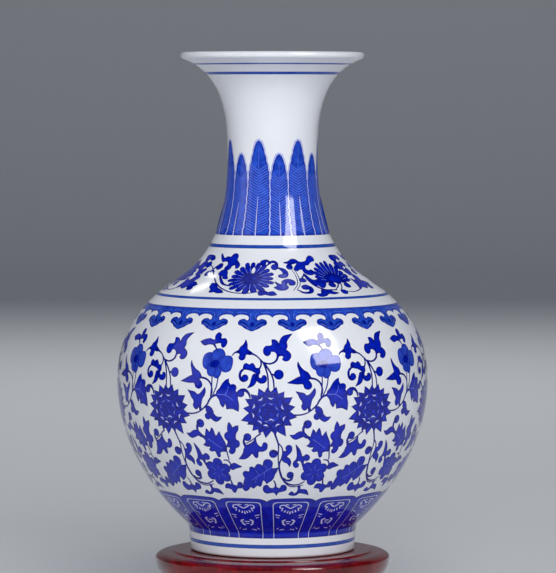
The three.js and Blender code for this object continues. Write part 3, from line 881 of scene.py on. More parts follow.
def shoulder_vine(band):
    """The stems that carry the shoulder's flowers."""
    band.stem((-54, 10), (-48, 7), (-42.6, 1.6), (-38, -3.4), (-33.6, -8.6), (-28, -13.4), (-21, -17),
              (-12, -17.6), (-6, -16), width=(0.5, 0.8, 0.6))
    band.stem((-36.4, 1), (-32.4, -4.6), (-28.6, -9), (-24, -10.6), width=(1.0, 1.6, 1.0))
    band.stem((12.6, 9.6), (15.4, 4.6), (16.6, -2), (15.6, -9), (12.4, -15), width=(0.3, 0.5, 0.3))
    band.stem((14.6, 9.6), (17.2, 4.4), (18.2, -2), (17.2, -9), (14.4, -14.4), width=(0.3, 0.5, 0.3))
    band.stem((22.6, 1.6), (23.8, -4.4), (26, -10), (30, -14.2), (38, -15.2), width=(1.4, 1.2, 0.9))
    band.stem((42, -16.4), (50, -17.6), (58, -14.6), (64.6, -8), (67.6, 0), (67, 8), width=(0.5, 0.7, 0.5))


def shoulder_leaves_left(band):
    """The leaves and curls on the left of the spread flower."""
    band.leaf((-47.4, 18.8, 1), (-44, 14.8), (-41, 12.6), (-38, 13.2), (-35.8, 12.4), (-34.6, 9.6),
              (-35.8, 7.2), (-33.8, 5.2), (-31.4, 6.2), (-30.6, 9), (-28.4, 10.2), (-25.8, 7), (-24.4, 9.2),
              (-26.6, 12.4), (-28.6, 14.4), (-28.6, 17), (-30.6, 18.8), (-33.6, 18.4), (-35.4, 16.2),
              (-38.6, 16.4), (-41.6, 15.2), (-44.4, 17))
    band.ball(-41.4, 8.2, 2.5)
    band.stem((-42.6, 9), (-45, 7.2), (-46.4, 4.2), width=(2.0, 1.0))
    band.ball(-48, 1.4, 2.2)
    band.stem((-47.4, 2.6), (-45.4, 4.2), (-43, 2.8), width=(1.8, 1.0))
    band.leaf((-37.8, 2.2), (-36.8, 4.6), (-34.2, 5.2), (-31.6, 3.2), (-30.4, 0), (-28.4, -3.4, 1),
              (-31.4, -3), (-33.2, -0.6), (-35.6, 0))
    band.leaf((-36.8, -8.4, 1), (-34.4, -8.8), (-32.6, -11), (-30.6, -13.4), (-28.2, -14.8), (-26, -17.4, 1),
              (-29, -17.8), (-31.6, -16.8), (-34, -17.4), (-34.2, -14.6), (-35.8, -13))
    band.leaf((-58, 14.4), (-61, 12.4), (-65, 13), (-66.6, 16), (-63, 17), (-59.4, 17), (-55, 16.4),
              (-52, 14.2, 1), (-55.4, 13))
    band.leaf((-54.6, -1), (-57.4, -2.4), (-58.6, -5.6), (-61.4, -7.4), (-61, -11), (-58, -13.2), (-54, -13),
              (-52, -15.8), (-49.2, -15.4), (-50.6, -11.8), (-53.4, -9.6), (-53.2, -6), (-52.4, -3))
    band.leaf((-66, 10), (-62, 12), (-58, 10.6), (-55, 11.6), (-52, 9), (-54.5, 7), (-57, 8), (-59, 5.4),
              (-57, 2.8), (-60.6, 1, 1), (-62.4, 4.6), (-65.4, 5.6))
    band.leaf((-63.4, -4, 1), (-60.4, -7), (-57, -6), (-55, -9), (-52, -8), (-47.6, -10.5, 1), (-50, -13),
              (-54, -12.5), (-57, -15), (-61, -13.5), (-64.6, -15.4, 1), (-63.4, -10))
    band.leaf((-58.4, 3.2), (-60.4, 1.4), (-59.4, -0.8), (-56.4, -0.6), (-54.6, 1.6), (-53.4, 5), (-56, 5.4))


def shoulder_leaves_right(band):
    """The leaves and curls between the two kinds of flower."""
    band.stem((-7.4, 11), (-5.4, 13.6), (-2.4, 13.4), (-0.6, 11.6), width=(1.6, 1.8, 1.2))
    band.ball(-6.2, 12, 2.0)
    band.stem((-3, 10), (0.6, 13), (4, 11.8), (4.4, 8.8), width=(1.0, 1.8, 1.8))
    band.ball(2.6, 8.4, 2.2)
    band.leaf((5, 7.8, 1), (8, 7.2), (10.6, 5.4), (11.4, 2.4), (10, -0.8), (7.2, -1.6), (5.2, -0.4), (6, 1.2),
              (7.8, 1.6), (8.4, 3.4), (7.4, 5.4))
    band.leaf((2.6, -6, 1), (4.4, -7.8), (6.4, -8.6), (7, -5.8), (8.8, -3.8), (11.4, -3.4), (13.8, -4.8),
              (14.4, -7.4), (13, -9.4), (11, -9), (11.2, -7.4), (10, -7), (9, -8.6), (9.8, -11.4), (8.2, -14),
              (5.6, -14.4), (3.4, -13.2), (2.2, -11.6, 1), (3.8, -10.6))
    band.ball(20, -4.4, 1.9)
    band.stem((20, -2.8), (21, -0.8), (22.6, 0.8), width=(1.0, 0.8))
    band.ball(13.6, 8.6, 2.0)
    band.stem((14.2, 10), (16, 11.6), (18, 12), width=(1.2, 1.6))
    band.leaf((9.8, 12.2, 1), (13.4, 13), (16.4, 14.8), (19.4, 14.6), (22, 12.6), (25.4, 12.4),
              (28.4, 13.4), (30.4, 15.8), (33.4, 17.2), (35.8, 16), (35.6, 13.8), (33.2, 13.2),
              (31.2, 12.2), (28.8, 10.4), (26.2, 9.8), (25.4, 6.6), (27.4, 4.8), (29.6, 5.4), (30.6, 3.4),
              (29, 1.4), (26, 1.2), (23.6, 3.2), (22.4, 6.4), (20.4, 6.4), (18.4, 5), (17.2, 6.6),
              (18.8, 9.4), (20, 11.2), (17, 12.2), (13.4, 11.6))
    band.stem((20.4, -10.6), (22.6, -13.2), (21.6, -16.8), (18, -17.2), (15.2, -14.6),
              width=(2.6, 2.2, 1.6, 0.8))
    band.ball(20, -11.8, 2.1)
    band.leaf((23.4, 1.4, 1), (25, -2.2), (27, -4.6), (29.8, -4.4), (32.2, -5.4), (33.8, -8), (32.4, -10.6),
              (30.6, -12.6), (28.4, -10.4), (26.4, -9.4), (24.6, -6.4), (23.2, -2.6))
    band.stem((33, -7), (35.6, -6.6), (38.4, -7.6), (39.2, -10), width=(1.2, 1.8, 1.8))
    band.ball(37.6, -10.2, 2.0)
    band.leaf((25, -19), (27.2, -18.6), (29.2, -14.8), (31, -16), (33.4, -15.2), (35, -17), (37.8, -18.2, 1),
              (34.6, -19), (31.8, -18.4), (29, -20.6), (26, -20.8))
    band.leaf((-6.2, -16.4, 1), (-3.2, -15.4), (-1.4, -16.8), (1, -16), (3, -19, 1), (0, -19.6),
              (-2.8, -18.6), (-5.4, -19.4))
    band.stem((47, -7.8), (49.4, -8.4), (50, -10.6), width=(1.0, 1.6))
    band.ball(48.6, -11.2, 2.0)
    band.ball(42.4, -17.4, 1.8)


def plantain_leaves():
    """Tall and short leaves that stand side by side round the neck on a solid ground."""
    band = Band("plantain_leaves", 7, 33, 240, facing=-17.4, grain=1.5)
    half = band.width / 2
    gap = [(6.3, 51, 1), (8.4, 43, 1), (10.3, 51, 1), (half, 51, 1), (half, 8.5, 1)]
    band.fill(smooth(both_sides(gap)), "bright")
    for centre in (-half, half):
        plantain_leaf(band, centre, 8.5, 62.8, (7.0, 6.8, 6.0, 4.9, 3.2, 2.4))
    plantain_leaf(band, 0.0, 8.5, 71.8, (8.0, 8.0, 7.5, 5.3, 3.4, 2.6))
    return band


def plantain_leaf(band, centre, base, tip, halves):
    """One leaf: a thin pale rim, a slightly wavy edge, a bare midrib and pairs of light veins."""
    knots = (0, 0.45, 0.68, 0.82, 0.93, 0.97)
    levels = np.linspace(base, tip, 49)

    def side_at(level, grow=0.0):
        """Half the leaf's width at a level, with its tip rounded off."""
        part = (np.asarray(level) - base) / (tip - base)
        wide = np.interp(part, knots, halves)
        top = 1 + grow / (tip - base)
        dome = np.sqrt(np.clip((top - part) / (top - 0.90), 0, 1))
        wave = 0.22 * np.sin(np.asarray(level) * 2 * pi / 5.4)
        return np.where(part > 0.90, np.interp(0.90, knots, halves) * dome, wide + wave) + grow * (dome > 0)

    for grow, tone in ((0.95, "vein"), (0.7, "pale"), (0.0, "bright")):
        heights = np.linspace(base, tip + grow, len(levels))
        side = side_at(heights, grow)
        side[-1] = 0.0
        right = np.stack([centre + side, heights], axis=1)
        left = np.stack([centre - side, heights], axis=1)[:-1][::-1]
        band.fill(np.concatenate([right, left]), tone)
    rib_top = base + (tip - base) * 0.42
    band.fill([(centre - 0.4, base), (centre + 0.4, base), (centre + 0.12, rib_top),
               (centre - 0.12, rib_top)], "pale")
    band.stem((centre, rib_top), (centre, tip - 6), width=(0.3, 0.2), tone="vein")
    for vein in np.arange(base + 2.4, base + (tip - base) * 0.72, 1.8):
        reach = float(side_at(vein + 2.2)) - 0.7
        for sign in (-1, 1):
            band.stem((centre + sign * 0.7, vein), (centre + sign * reach, vein + 3.4), width=(0.42, 0.32),
                      tone="vein")


def lotus_panels():
    """Upright panels with small scrolls, on a solid ground over the foot."""
    band = Band("lotus_panels", 15, 70, 14, facing=9.3, grain=1.6)
    half, low = band.width / 2, -0.9
    top = [(-half, 34.0, 1), (-half * 0.86, 35.4), (-half * 0.4, 36.4), (0, 36.6), (half * 0.4, 36.4),
           (half * 0.86, 35.4), (half, 34.0, 1)]
    band.fill(smooth([*top, (half, low, 1), (-half, low, 1)]), "deep")
    for inset, tone in ((0.0, "pale"), (0.6, "deep")):
        wide, top = 11.2 - inset, 33.2 - inset
        band.fill(smooth([(-wide * 0.93, low, 1), (-wide, top - 2.6, 1), (-wide + 0.9, top - 0.7),
                          (-wide + 3, top, 1), (wide - 3, top, 1), (wide - 0.9, top - 0.7),
                          (wide, top - 2.6, 1), (wide * 0.93, low, 1)]), tone)
    for sign in (-1, 1):
        band.stem((sign * 0.4, 27.6), (sign * 2.2, 29), (sign * 4.4, 30.6), (sign * 6.4, 29.8),
                  (sign * 6.4, 27.8), (sign * 4.8, 27.6), width=(0.9, 0.7, 0.9), tone="pale")
        band.stem((sign * 1.2, 30.6), (sign * 2.8, 31), width=(0.5, 0.7), tone="pale")
        for x, y in ((5.4, 25.4), (3.6, 24.2), (1.8, 23.4)):
            band.stem((sign * x, y), (sign * (x - 0.5), y + 1.5), width=(0.9, 0.6), tone="pale")
        band.stem((sign * 9.4, 21.6), (sign * 6.6, 20.6), width=(0.5, 0.8), tone="pale")
        band.stem((sign * 8.8, 19.2), (sign * 7, 18.4), width=(0.4, 0.6), tone="pale")
        band.stem((sign * 3.6, 13.2), (sign * 4, 15.2), (sign * 2.4, 16.4), width=(1.2, 1.6, 1.0),
                  tone="pale")
        band.stem((sign * 3.6, 12.4), (sign * 2.2, 11.2), width=(1.4, 1.1), tone="pale")
        band.stem((sign * 2.4, 6.6), (sign * 5.4, 6), width=(0.6, 0.8), tone="pale")
        band.stem((sign * 6.6, 8.2), (sign * 7.8, 6.8), width=(0.4, 0.6), tone="pale")
    band.stem((0, 22.6), (0, 24.4), width=(1.0, 0.7), tone="pale")
    band.stem((-1.4, 14.6), (1.4, 14.6), width=(0.9, 0.9), tone="pale")
    band.stem((-0.9, 12.6), (0.9, 12.6), width=(0.7, 0.7), tone="pale")
    return band


# ---------------------------------------------------------------- materials

def add(tree, kind, inputs=None, **settings):
    """Adds a node with its settings. An input is a value or another node's output."""
    made = tree.nodes.new(kind)
    for name, value in settings.items():
        setattr(made, name, value)
    for socket, value in (inputs or {}).items():
        if isinstance(value, bpy.types.NodeSocket):
            tree.links.new(value, made.inputs[socket])
        else:
            made.inputs[socket].default_value = value
    return made


def new_material(name):
    """An empty material with its node tree, or the one that already stands under the name."""
    known = bpy.data.materials.get(name)
    if known:
        return known, None
    made = bpy.data.materials.new(name)
    made.use_nodes = True
    made.node_tree.nodes.clear()
    return made, made.node_tree


def surface(tree, inputs):
    """Ends a material: the shader with its inputs, joined to the output."""
    shader = add(tree, "ShaderNodeBsdfPrincipled", inputs)
    add(tree, "ShaderNodeOutputMaterial", {"Surface": shader.outputs["BSDF"]})


def glaze_ripple(tree):
    """The slow ripple of a fired glaze, the same on the white and on the painting."""
    place = add(tree, "ShaderNodeTexCoord").outputs["Object"]
    slow = add(tree, "ShaderNodeTexNoise", {"Vector": place, "Scale": 1 / (34 * MM), "Detail": 2.0,
                                            "Roughness": 0.4})
    fine = add(tree, "ShaderNodeTexNoise", {"Vector": place, "Scale": 1 / (2.6 * MM), "Detail": 1.0})
    soft = add(tree, "ShaderNodeBump", {"Height": slow.outputs["Fac"], "Strength": 0.10,
                                        "Distance": 1.6 * MM})
    return place, add(tree, "ShaderNodeBump", {"Height": fine.outputs["Fac"], "Strength": 0.05,
                                               "Distance": 0.12 * MM, "Normal": soft.outputs["Normal"]})


def glazed_porcelain():
    """Hard-paste porcelain dipped in a clear feldspar glaze and fired: a cool white with a wet gloss."""
    made, tree = new_material("glazed_porcelain")
    if tree:
        colours = bpy.context.scene.vase_finishes
        place, ripple = glaze_ripple(tree)
        cloud = add(tree, "ShaderNodeTexNoise", {"Vector": place, "Scale": 1 / (60 * MM), "Detail": 3.0})
        white = add(tree, "ShaderNodeMix", {"Factor": cloud.outputs["Fac"], "A": colours.white,
                                            "B": colours.white_cool}, data_type="RGBA")
        speck = add(tree, "ShaderNodeTexNoise", {"Vector": place, "Scale": 1 / (9 * MM), "Detail": 4.0})
        gloss = add(tree, "ShaderNodeMapRange", {"Value": speck.outputs["Fac"], "To Min": 0.045,
                                                 "To Max": 0.10})
        surface(tree, {
            "Base Color": white.outputs["Result"], "Roughness": gloss.outputs["Result"], "IOR": 1.52,
            "Normal": ripple.outputs["Normal"]})
    return made


def underglaze(name, edge, core):
    """Cobalt oxide painted on the raw body under the clear glaze: the colour gathers at the edges of each
    stroke, thins in the middle and mottles a little, while the gloss is the glaze's own."""
    made, tree = new_material(name)
    if tree:
        place, ripple = glaze_ripple(tree)
        depth = add(tree, "ShaderNodeAttribute", attribute_name="core")
        mottle = add(tree, "ShaderNodeTexNoise", {"Vector": place, "Scale": 1 / (3.2 * MM), "Detail": 5.0,
                                                  "Roughness": 0.6})
        spread = add(tree, "ShaderNodeMapRange", {"Value": mottle.outputs["Fac"], "From Min": 0.3,
                                                  "From Max": 0.7, "To Min": 0.25, "To Max": 1.0})
        share = add(tree, "ShaderNodeMath", {0: depth.outputs["Fac"], 1: spread.outputs["Result"]},
                    operation="MULTIPLY", use_clamp=True)
        blue = add(tree, "ShaderNodeMix", {"Factor": share.outputs["Value"], "A": edge, "B": core},
                   data_type="RGBA")
        surface(tree, {
            "Base Color": blue.outputs["Result"], "Roughness": 0.07, "IOR": 1.52,
            "Normal": ripple.outputs["Normal"]})
    return made


def deep_cobalt():
    """Cobalt laid on in full strength."""
    colours = bpy.context.scene.vase_finishes
    return underglaze("underglaze_cobalt_deep", colours.deep_edge, colours.deep_core)


def wash_cobalt():
    """Cobalt thinned with water for a lighter petal."""
    colours = bpy.context.scene.vase_finishes
    return underglaze("underglaze_cobalt_wash", colours.wash_edge, colours.wash_core)


def bright_cobalt():
    """A brighter, evenly filled cobalt for the cloud collar and the leaves round the neck."""
    colours = bpy.context.scene.vase_finishes
    return underglaze("underglaze_cobalt_bright", colours.bright_edge, colours.bright_core)


def pale_cobalt():
    """The faintest cobalt, almost the colour of the glaze."""
    colours = bpy.context.scene.vase_finishes
    return underglaze("underglaze_cobalt_pale", colours.pale, colours.white)


def line_cobalt():
    """Cobalt run round in one turn of the wheel, softer and a little greener than the painting."""
    colours = bpy.context.scene.vase_finishes
    return underglaze("underglaze_cobalt_line", colours.line_edge, colours.line_core)


def vein_cobalt():
    """Thin light lines in the leaves, petals and borders, all in one strength."""
    colours = bpy.context.scene.vase_finishes
    return underglaze("underglaze_cobalt_vein", colours.vein, colours.vein)


COBALT = {"deep": deep_cobalt, "wash": wash_cobalt, "bright": bright_cobalt, "pale": pale_cobalt,
          "vein": vein_cobalt, "line": line_cobalt}


def biscuit():
    """Bare fired clay where the glaze was wiped off the foot: dry, faintly warm and gritty."""
    made, tree = new_material("bare_biscuit_clay")
    if tree:
        colours = bpy.context.scene.vase_finishes
        place = add(tree, "ShaderNodeTexCoord").outputs["Object"]
        grit = add(tree, "ShaderNodeTexNoise", {"Vector": place, "Scale": 1 / (0.7 * MM), "Detail": 4.0})
        tone = add(tree, "ShaderNodeMix", {"Factor": grit.outputs["Fac"], "A": colours.biscuit,
                                           "B": colours.white}, data_type="RGBA")
        rough = add(tree, "ShaderNodeBump", {"Height": grit.outputs["Fac"], "Strength": 0.35,
                                             "Distance": 0.1 * MM})
        surface(tree, {
            "Base Color": tone.outputs["Result"], "Roughness": 0.75, "IOR": 1.5,
            "Normal": rough.outputs["Normal"]})
    return made


def lacquered_wood():
    """Hardwood stained red and flatted under many coats of clear lacquer: dark grain shows deep below a
    glossy skin."""
    made, tree = new_material("lacquered_hardwood")
    if tree:
        colours = bpy.context.scene.vase_finishes
        place = add(tree, "ShaderNodeTexCoord").outputs["Object"]
        stretched = add(tree, "ShaderNodeMapping", {"Vector": place, "Scale": (1.0, 0.09, 1.0)})
        grain = add(tree, "ShaderNodeTexNoise", {"Vector": stretched.outputs["Vector"],
                                                 "Scale": 1 / (2.4 * MM), "Detail": 6.0, "Roughness": 0.65,
                                                 "Distortion": 0.4})
        figure = add(tree, "ShaderNodeTexNoise", {"Vector": stretched.outputs["Vector"],
                                                  "Scale": 1 / (16 * MM), "Detail": 3.0})
        both = add(tree, "ShaderNodeMath", {0: grain.outputs["Fac"], 1: figure.outputs["Fac"]},
                   operation="MULTIPLY")
        share = add(tree, "ShaderNodeMapRange", {"Value": both.outputs["Value"], "From Min": 0.12,
                                                 "From Max": 0.42})
        tone = add(tree, "ShaderNodeMix", {"Factor": share.outputs["Result"], "A": colours.lacquer_dark,
                                           "B": colours.lacquer}, data_type="RGBA")
        pores = add(tree, "ShaderNodeBump", {"Height": grain.outputs["Fac"], "Strength": 0.06,
                                             "Distance": 0.2 * MM})
        surface(tree, {
            "Base Color": tone.outputs["Result"], "Roughness": 0.38, "IOR": 1.5,
            "Specular IOR Level": 0.1, "Coat Weight": 1.0,
            "Coat Roughness": 0.05, "Coat IOR": 1.52, "Normal": pores.outputs["Normal"]})
    return made


def wool_felt():
    """Pressed wool: dull, with a short fuzz that catches light at the edge."""
    made, tree = new_material("pressed_wool_felt")
    if tree:
        colours = bpy.context.scene.vase_finishes
        place = add(tree, "ShaderNodeTexCoord").outputs["Object"]
        fibre = add(tree, "ShaderNodeTexNoise", {"Vector": place, "Scale": 1 / (0.5 * MM), "Detail": 6.0,
                                                 "Distortion": 1.5})
        tone = add(tree, "ShaderNodeMix", {"Factor": fibre.outputs["Fac"], "A": colours.felt,
                                           "B": srgb("#3A3436")}, data_type="RGBA")
        fuzz = add(tree, "ShaderNodeBump", {"Height": fibre.outputs["Fac"], "Strength": 0.8,
                                            "Distance": 0.3 * MM})
        surface(tree, {
            "Base Color": tone.outputs["Result"], "Roughness": 0.95, "Sheen Weight": 0.3,
            "Normal": fuzz.outputs["Normal"]})
    return made


def stage_paper():
    """Matt pale paper under and behind the object."""
    made, tree = new_material("pale_stage_paper")
    if tree:
        colours = bpy.context.scene.vase_finishes
        place = add(tree, "ShaderNodeTexCoord").outputs["Object"]
        tooth = add(tree, "ShaderNodeTexNoise", {"Vector": place, "Scale": 1 / (4 * MM), "Detail": 4.0})
        tone = add(tree, "ShaderNodeMix", {"Factor": tooth.outputs["Fac"], "A": colours.stage,
                                           "B": srgb("#DADCDF")}, data_type="RGBA")
        surface(tree, {
            "Base Color": tone.outputs["Result"], "Roughness": 0.9, "Specular IOR Level": 0.2})
    return made


# ---------------------------------------------------------------- the porcelain

def vase_outline():
    """The vase's outline at its place on the stand."""
    sizes = bpy.context.scene.vase_sizes
    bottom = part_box("lower_body")[0][2]
    return Outline(sizes, bottom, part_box("neck_and_mouth")[1][2] - bottom)


def inner_line(outline, sizes, low, high):
    """The inside of the wall between two lengths of the outside, from the top down."""
    points, outward = outline.stretch(low, high, 3 * BODY_STEP)
    return (points - outward * sizes.wall)[::-1], -outward[::-1]


def seam(inner, outer):
    """The level face where two thrown sections meet, from one side of the wall to the other."""
    return np.array([inner, (inner + outer) / 2, outer])


def replace(piece, *nodes, body="vase", finish="glazed_porcelain"):
    """Puts a finished piece in the place of its node in the frame."""
    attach(piece, body)
    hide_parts(*nodes)


RIM_ROUND = 1.4 * MM  # the rounding of the foot ring's edges
FLOOR_EDGE_RISE = 1.6 * MM  # where the inside wall turns into the floor, above the crease
FLOOR_EASE = (0.6, 0.2)  # how long the floor keeps level and then the wall's direction
BARE_SHARE = 0.9  # how much of the rim's rounding is wiped clean of glaze


def lower_body(outline, sizes):
    """The lower body, from its bare foot rim up to the widest place."""
    white = glazed_porcelain()
    rim = RIM_ROUND
    ring_inner = sizes.foot / 2 - sizes.foot_ring
    top = outline.along_at(sizes.belly_height)
    outside = outline.stretch(rim, top)
    inside_start = outline.along_at(sizes.foot_height + FLOOR_EDGE_RISE)
    inside_line, inside_out = inner_line(outline, sizes, inside_start, top)
    middle = np.array([0.0, sizes.recess + sizes.floor])
    floor = sweep(middle, np.array([1.0, 0.0]), inside_line[-1], direction(Outline.FOOT_ANGLE),
                  FLOOR_EASE, 24)[::-1]
    corner = arc((ring_inner - rim, sizes.recess - rim), rim, rim, 90, 0, 7)
    hollow = np.stack([np.linspace(0, ring_inner - rim, 16), np.full(16, sizes.recess)], axis=1)
    side = np.array([(ring_inner, sizes.recess - rim), (ring_inner, rim)])
    foot_ring = without_repeats(np.concatenate([
        arc((ring_inner + rim, rim), rim, rim, 180, 270, 7),
        arc((sizes.foot / 2 - rim, rim), rim, rim, 270, 360, 7)]))
    runs = [hollow, corner, side, foot_ring, outside,
            seam(outside[0][-1], inside_line[0]), (inside_line, inside_out), floor]
    made = turn("lower_body_glazed", runs, SIDES, white, bottom=outline.bottom)
    made.data.materials.append(biscuit())
    bare = rim * BARE_SHARE + outline.bottom
    for face in made.data.polygons:
        if face.center.z < bare:
            face.material_index = 1
    replace(made, "lower_body")


def upper_body(outline, sizes):
    """The upper body, from the widest place to where the neck is luted on."""
    low, high = outline.along_at(sizes.belly_height), outline.along_at(sizes.neck_seam)
    outside = outline.stretch(low, high)
    inside_line, inside_out = inner_line(outline, sizes, low, high)
    runs = [outside, seam(outside[0][-1], inside_line[0]), (inside_line, inside_out),
            seam(inside_line[-1], outside[0][0])]
    made = turn("upper_body_glazed", runs, SIDES, glazed_porcelain(), bottom=outline.bottom)
    replace(made, "upper_body")


def neck_and_mouth(outline, sizes):
    """The neck and the flared mouth with its rounded lip."""
    low, high = outline.along_at(sizes.neck_seam), float(outline.length[-1])
    outside = outline.stretch(low, high)
    inside_line, _ = inner_line(outline, sizes, low, high)
    lip = arc(outline.lip_centre, outline.lip_round, outline.lip_round,
              Outline.LIP_ANGLE - 90, Outline.LIP_ANGLE + 90, 17)
    lip[0], lip[-1] = outside[0][-1], inside_line[0]
    whole = without_repeats(np.concatenate([outside[0], lip, inside_line]))
    runs = [whole, seam(inside_line[-1], outside[0][0])]
    made = turn("neck_and_mouth_glazed", runs, SIDES, glazed_porcelain(), bottom=outline.bottom)
    replace(made, "neck_and_mouth")


LINE_STEP = 0.4 * MM  # across a banding line


def banding_line(name, outline, along, width, tone):
    """A line drawn with a loaded brush while the vase turns."""
    low, high = (along - width / 2) * MM, (along + width / 2) * MM
    points, outward = outline.stretch(low, high, LINE_STEP)
    line = points + outward * FILM_LIFT
    made = turn(name, [(line, outward)], SIDES, COBALT[tone](), bottom=outline.bottom)
    share = np.abs(np.linspace(-1, 1, len(points)))
    core = made.data.attributes.new("core", "FLOAT", "POINT")
    core.data.foreach_set("value", np.repeat(1 - share, SIDES).astype(np.float32))
    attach(made, "vase")


# ---------------------------------------------------------------- the stand

def stand_pieces():
    """The seat, the waist and the plinth as sections that are turned."""
    sizes, vase = bpy.context.scene.stand_sizes, bpy.context.scene.vase_sizes
    gap = sizes.clearance
    spigot, socket = sizes.spigot / 2, sizes.spigot / 2 + gap

    low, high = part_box("stand_seat")
    radius, thick = (high[0] - low[0]) / 2, high[2] - low[2]
    table = vase.foot / 2 + sizes.table_margin
    edge_top = thick - sizes.table_step - sizes.moulding_fall
    widest = thick - sizes.widest_drop
    seat = [
        np.array([(0.0, sizes.spigot_length), (socket, sizes.spigot_length)]),
        np.array([(socket, sizes.spigot_length), (socket, 0.0)]),
        np.array([(socket, 0.0), (radius - sizes.undercut, 0.0)]),
        without_repeats(np.concatenate([
            arc((radius - sizes.undercut, widest), sizes.undercut, widest, 270, 360, 25),
            arc((radius - sizes.edge_width, widest), sizes.edge_width, edge_top - widest, 0, 90, 25)])),
        np.array([(radius - sizes.edge_width, edge_top), (table, thick - sizes.table_step)]),
        arc((table - sizes.table_bead, thick - sizes.table_step), sizes.table_bead, sizes.table_step,
            0, 90, 9),
        np.stack([np.linspace(table - sizes.table_bead, 0, 20), np.full(20, thick)], axis=1),
    ]
    yield "stand_seat", seat, low[2]

    low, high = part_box("stand_waist")
    radius = (high[0] - low[0]) / 2
    height = high[2] - low[2] - 2 * sizes.spigot_length
    lip = height / 6
    waist = [
        np.array([(0.0, -sizes.spigot_length), (spigot, -sizes.spigot_length)]),
        np.array([(spigot, -sizes.spigot_length), (spigot, 0.0)]),
        np.array([(spigot, 0.0), (radius, 0.0)]),
        np.array([(radius, 0.0), (radius, lip)]),
        arc((radius, height / 2), sizes.waist_cove, height / 2 - lip, 270, 90, 25),
        np.array([(radius, height - lip), (radius, height)]),
        np.array([(radius, height), (spigot, height)]),
        np.array([(spigot, height), (spigot, height + sizes.spigot_length)]),
        np.array([(spigot, height + sizes.spigot_length), (0.0, height + sizes.spigot_length)]),
    ]
    yield "stand_waist", waist, low[2] + sizes.spigot_length

    low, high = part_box("stand_plinth")
    radius, thick = (high[0] - low[0]) / 2, high[2] - low[2]
    floor = thick - sizes.spigot_length
    plinth = [
        np.stack([np.linspace(0, radius - thick / 2, 20), np.zeros(20)], axis=1),
        arc((radius - thick / 2, thick / 2), thick / 2, thick / 2, 270, 450, 33),
        np.array([(radius - thick / 2, thick), (socket, thick)]),
        np.array([(socket, thick), (socket, floor)]),
        np.array([(socket, floor), (0.0, floor)]),
    ]
    yield "stand_plinth", plinth, low[2]


def bun_section(node):
    """A bun foot with the dowel that holds it, as a section that is turned."""
    sizes = bpy.context.scene.stand_sizes
    low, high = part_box(node)
    height = high[2] - low[2] - sizes.dowel_length
    radius, dowel = (high[0] - low[0]) / 2, sizes.dowel / 2
    flat = radius - height / 2
    return [
        np.array([(0.0, 0.0), (flat, 0.0)]),
        arc((flat, height / 2), height / 2, height / 2, 270, 450, 25),
        np.array([(flat, height), (dowel, height)]),
        np.array([(dowel, height), (dowel, height + sizes.dowel_length)]),
        np.array([(dowel, height + sizes.dowel_length), (0.0, height + sizes.dowel_length)]),
    ]


def pad_section(node):
    """A felt pad with softened edges, as a section that is turned."""
    low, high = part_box(node)
    radius, thick = (high[0] - low[0]) / 2, high[2] - low[2]
    soft = thick * 0.3
    return [
        np.array([(0.0, 0.0), (radius - soft, 0.0)]),
        without_repeats(np.concatenate([arc((radius - soft, soft), soft, soft, 270, 360, 7),
                                        arc((radius - soft, thick - soft), soft, soft, 0, 90, 7)])),
        np.array([(radius - soft, thick), (0.0, thick)]),
    ]


def middle_of(node):
    """The middle of a node's plan."""
    low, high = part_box(node)
    return (low[0] + high[0]) / 2, (low[1] + high[1]) / 2


# ---------------------------------------------------------------- operators

class VASE_OT_porcelain(bpy.types.Operator):
    """Turn the three glazed sections of the vase"""
    bl_idname = "vase.porcelain"
    bl_label = "Glazed Porcelain"

    def execute(self, context):
        outline, sizes = vase_outline(), context.scene.vase_sizes
        lower_body(outline, sizes)
        upper_body(outline, sizes)
        neck_and_mouth(outline, sizes)
        return {"FINISHED"}


class VASE_OT_banding_lines(bpy.types.Operator):
    """Draw the cobalt lines that part the bands"""
    bl_idname = "vase.banding_lines"
    bl_label = "Banding Lines"

    LINES = (("foot_line", 7.6, 2.5), ("shoulder_line", 192.8, 2.2), ("neck_line", 240.6, 2.5),
             ("mouth_line", 359.1, 2.4), ("lip_line", 368.9, 1.6))

    def execute(self, context):
        outline = vase_outline()
        for name, along, width in self.LINES:
            banding_line(name, outline, along, width, "line")
        return {"FINISHED"}


class VASE_OT_lotus_scroll(bpy.types.Operator):
    """Paint the lotus scroll round the belly"""
    bl_idname = "vase.lotus_scroll"
    bl_label = "Lotus Scroll"

    def execute(self, context):
        paint(lotus_scroll())
        return {"FINISHED"}


class VASE_OT_borders(bpy.types.Operator):
    """Paint the cloud collar, the shoulder scroll, the plantain leaves and the lotus panels"""
    bl_idname = "vase.borders"
    bl_label = "Borders"

    def execute(self, context):
        for draw in (cloud_collar, shoulder_scroll, plantain_leaves, lotus_panels):
            paint(draw())
        return {"FINISHED"}


class VASE_OT_stand(bpy.types.Operator):
    """Turn the seat, waist, plinth and bun feet of the lacquered stand"""
    bl_idname = "vase.stand"
    bl_label = "Lacquered Stand"

    def execute(self, context):
        for node, section, bottom in stand_pieces():
            made = turn(node + "_lacquered", section, STAND_SIDES, lacquered_wood(), bottom=bottom)
            replace(made, node, body="stand", finish="lacquered_wood")
        for node in sorted(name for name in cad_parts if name.startswith("bun_foot")):
            made = turn(node + "_lacquered", bun_section(node), SMALL_SIDES, lacquered_wood(),
                        centre=middle_of(node), bottom=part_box(node)[0][2])
            replace(made, node, body="stand", finish="lacquered_wood")
        return {"FINISHED"}


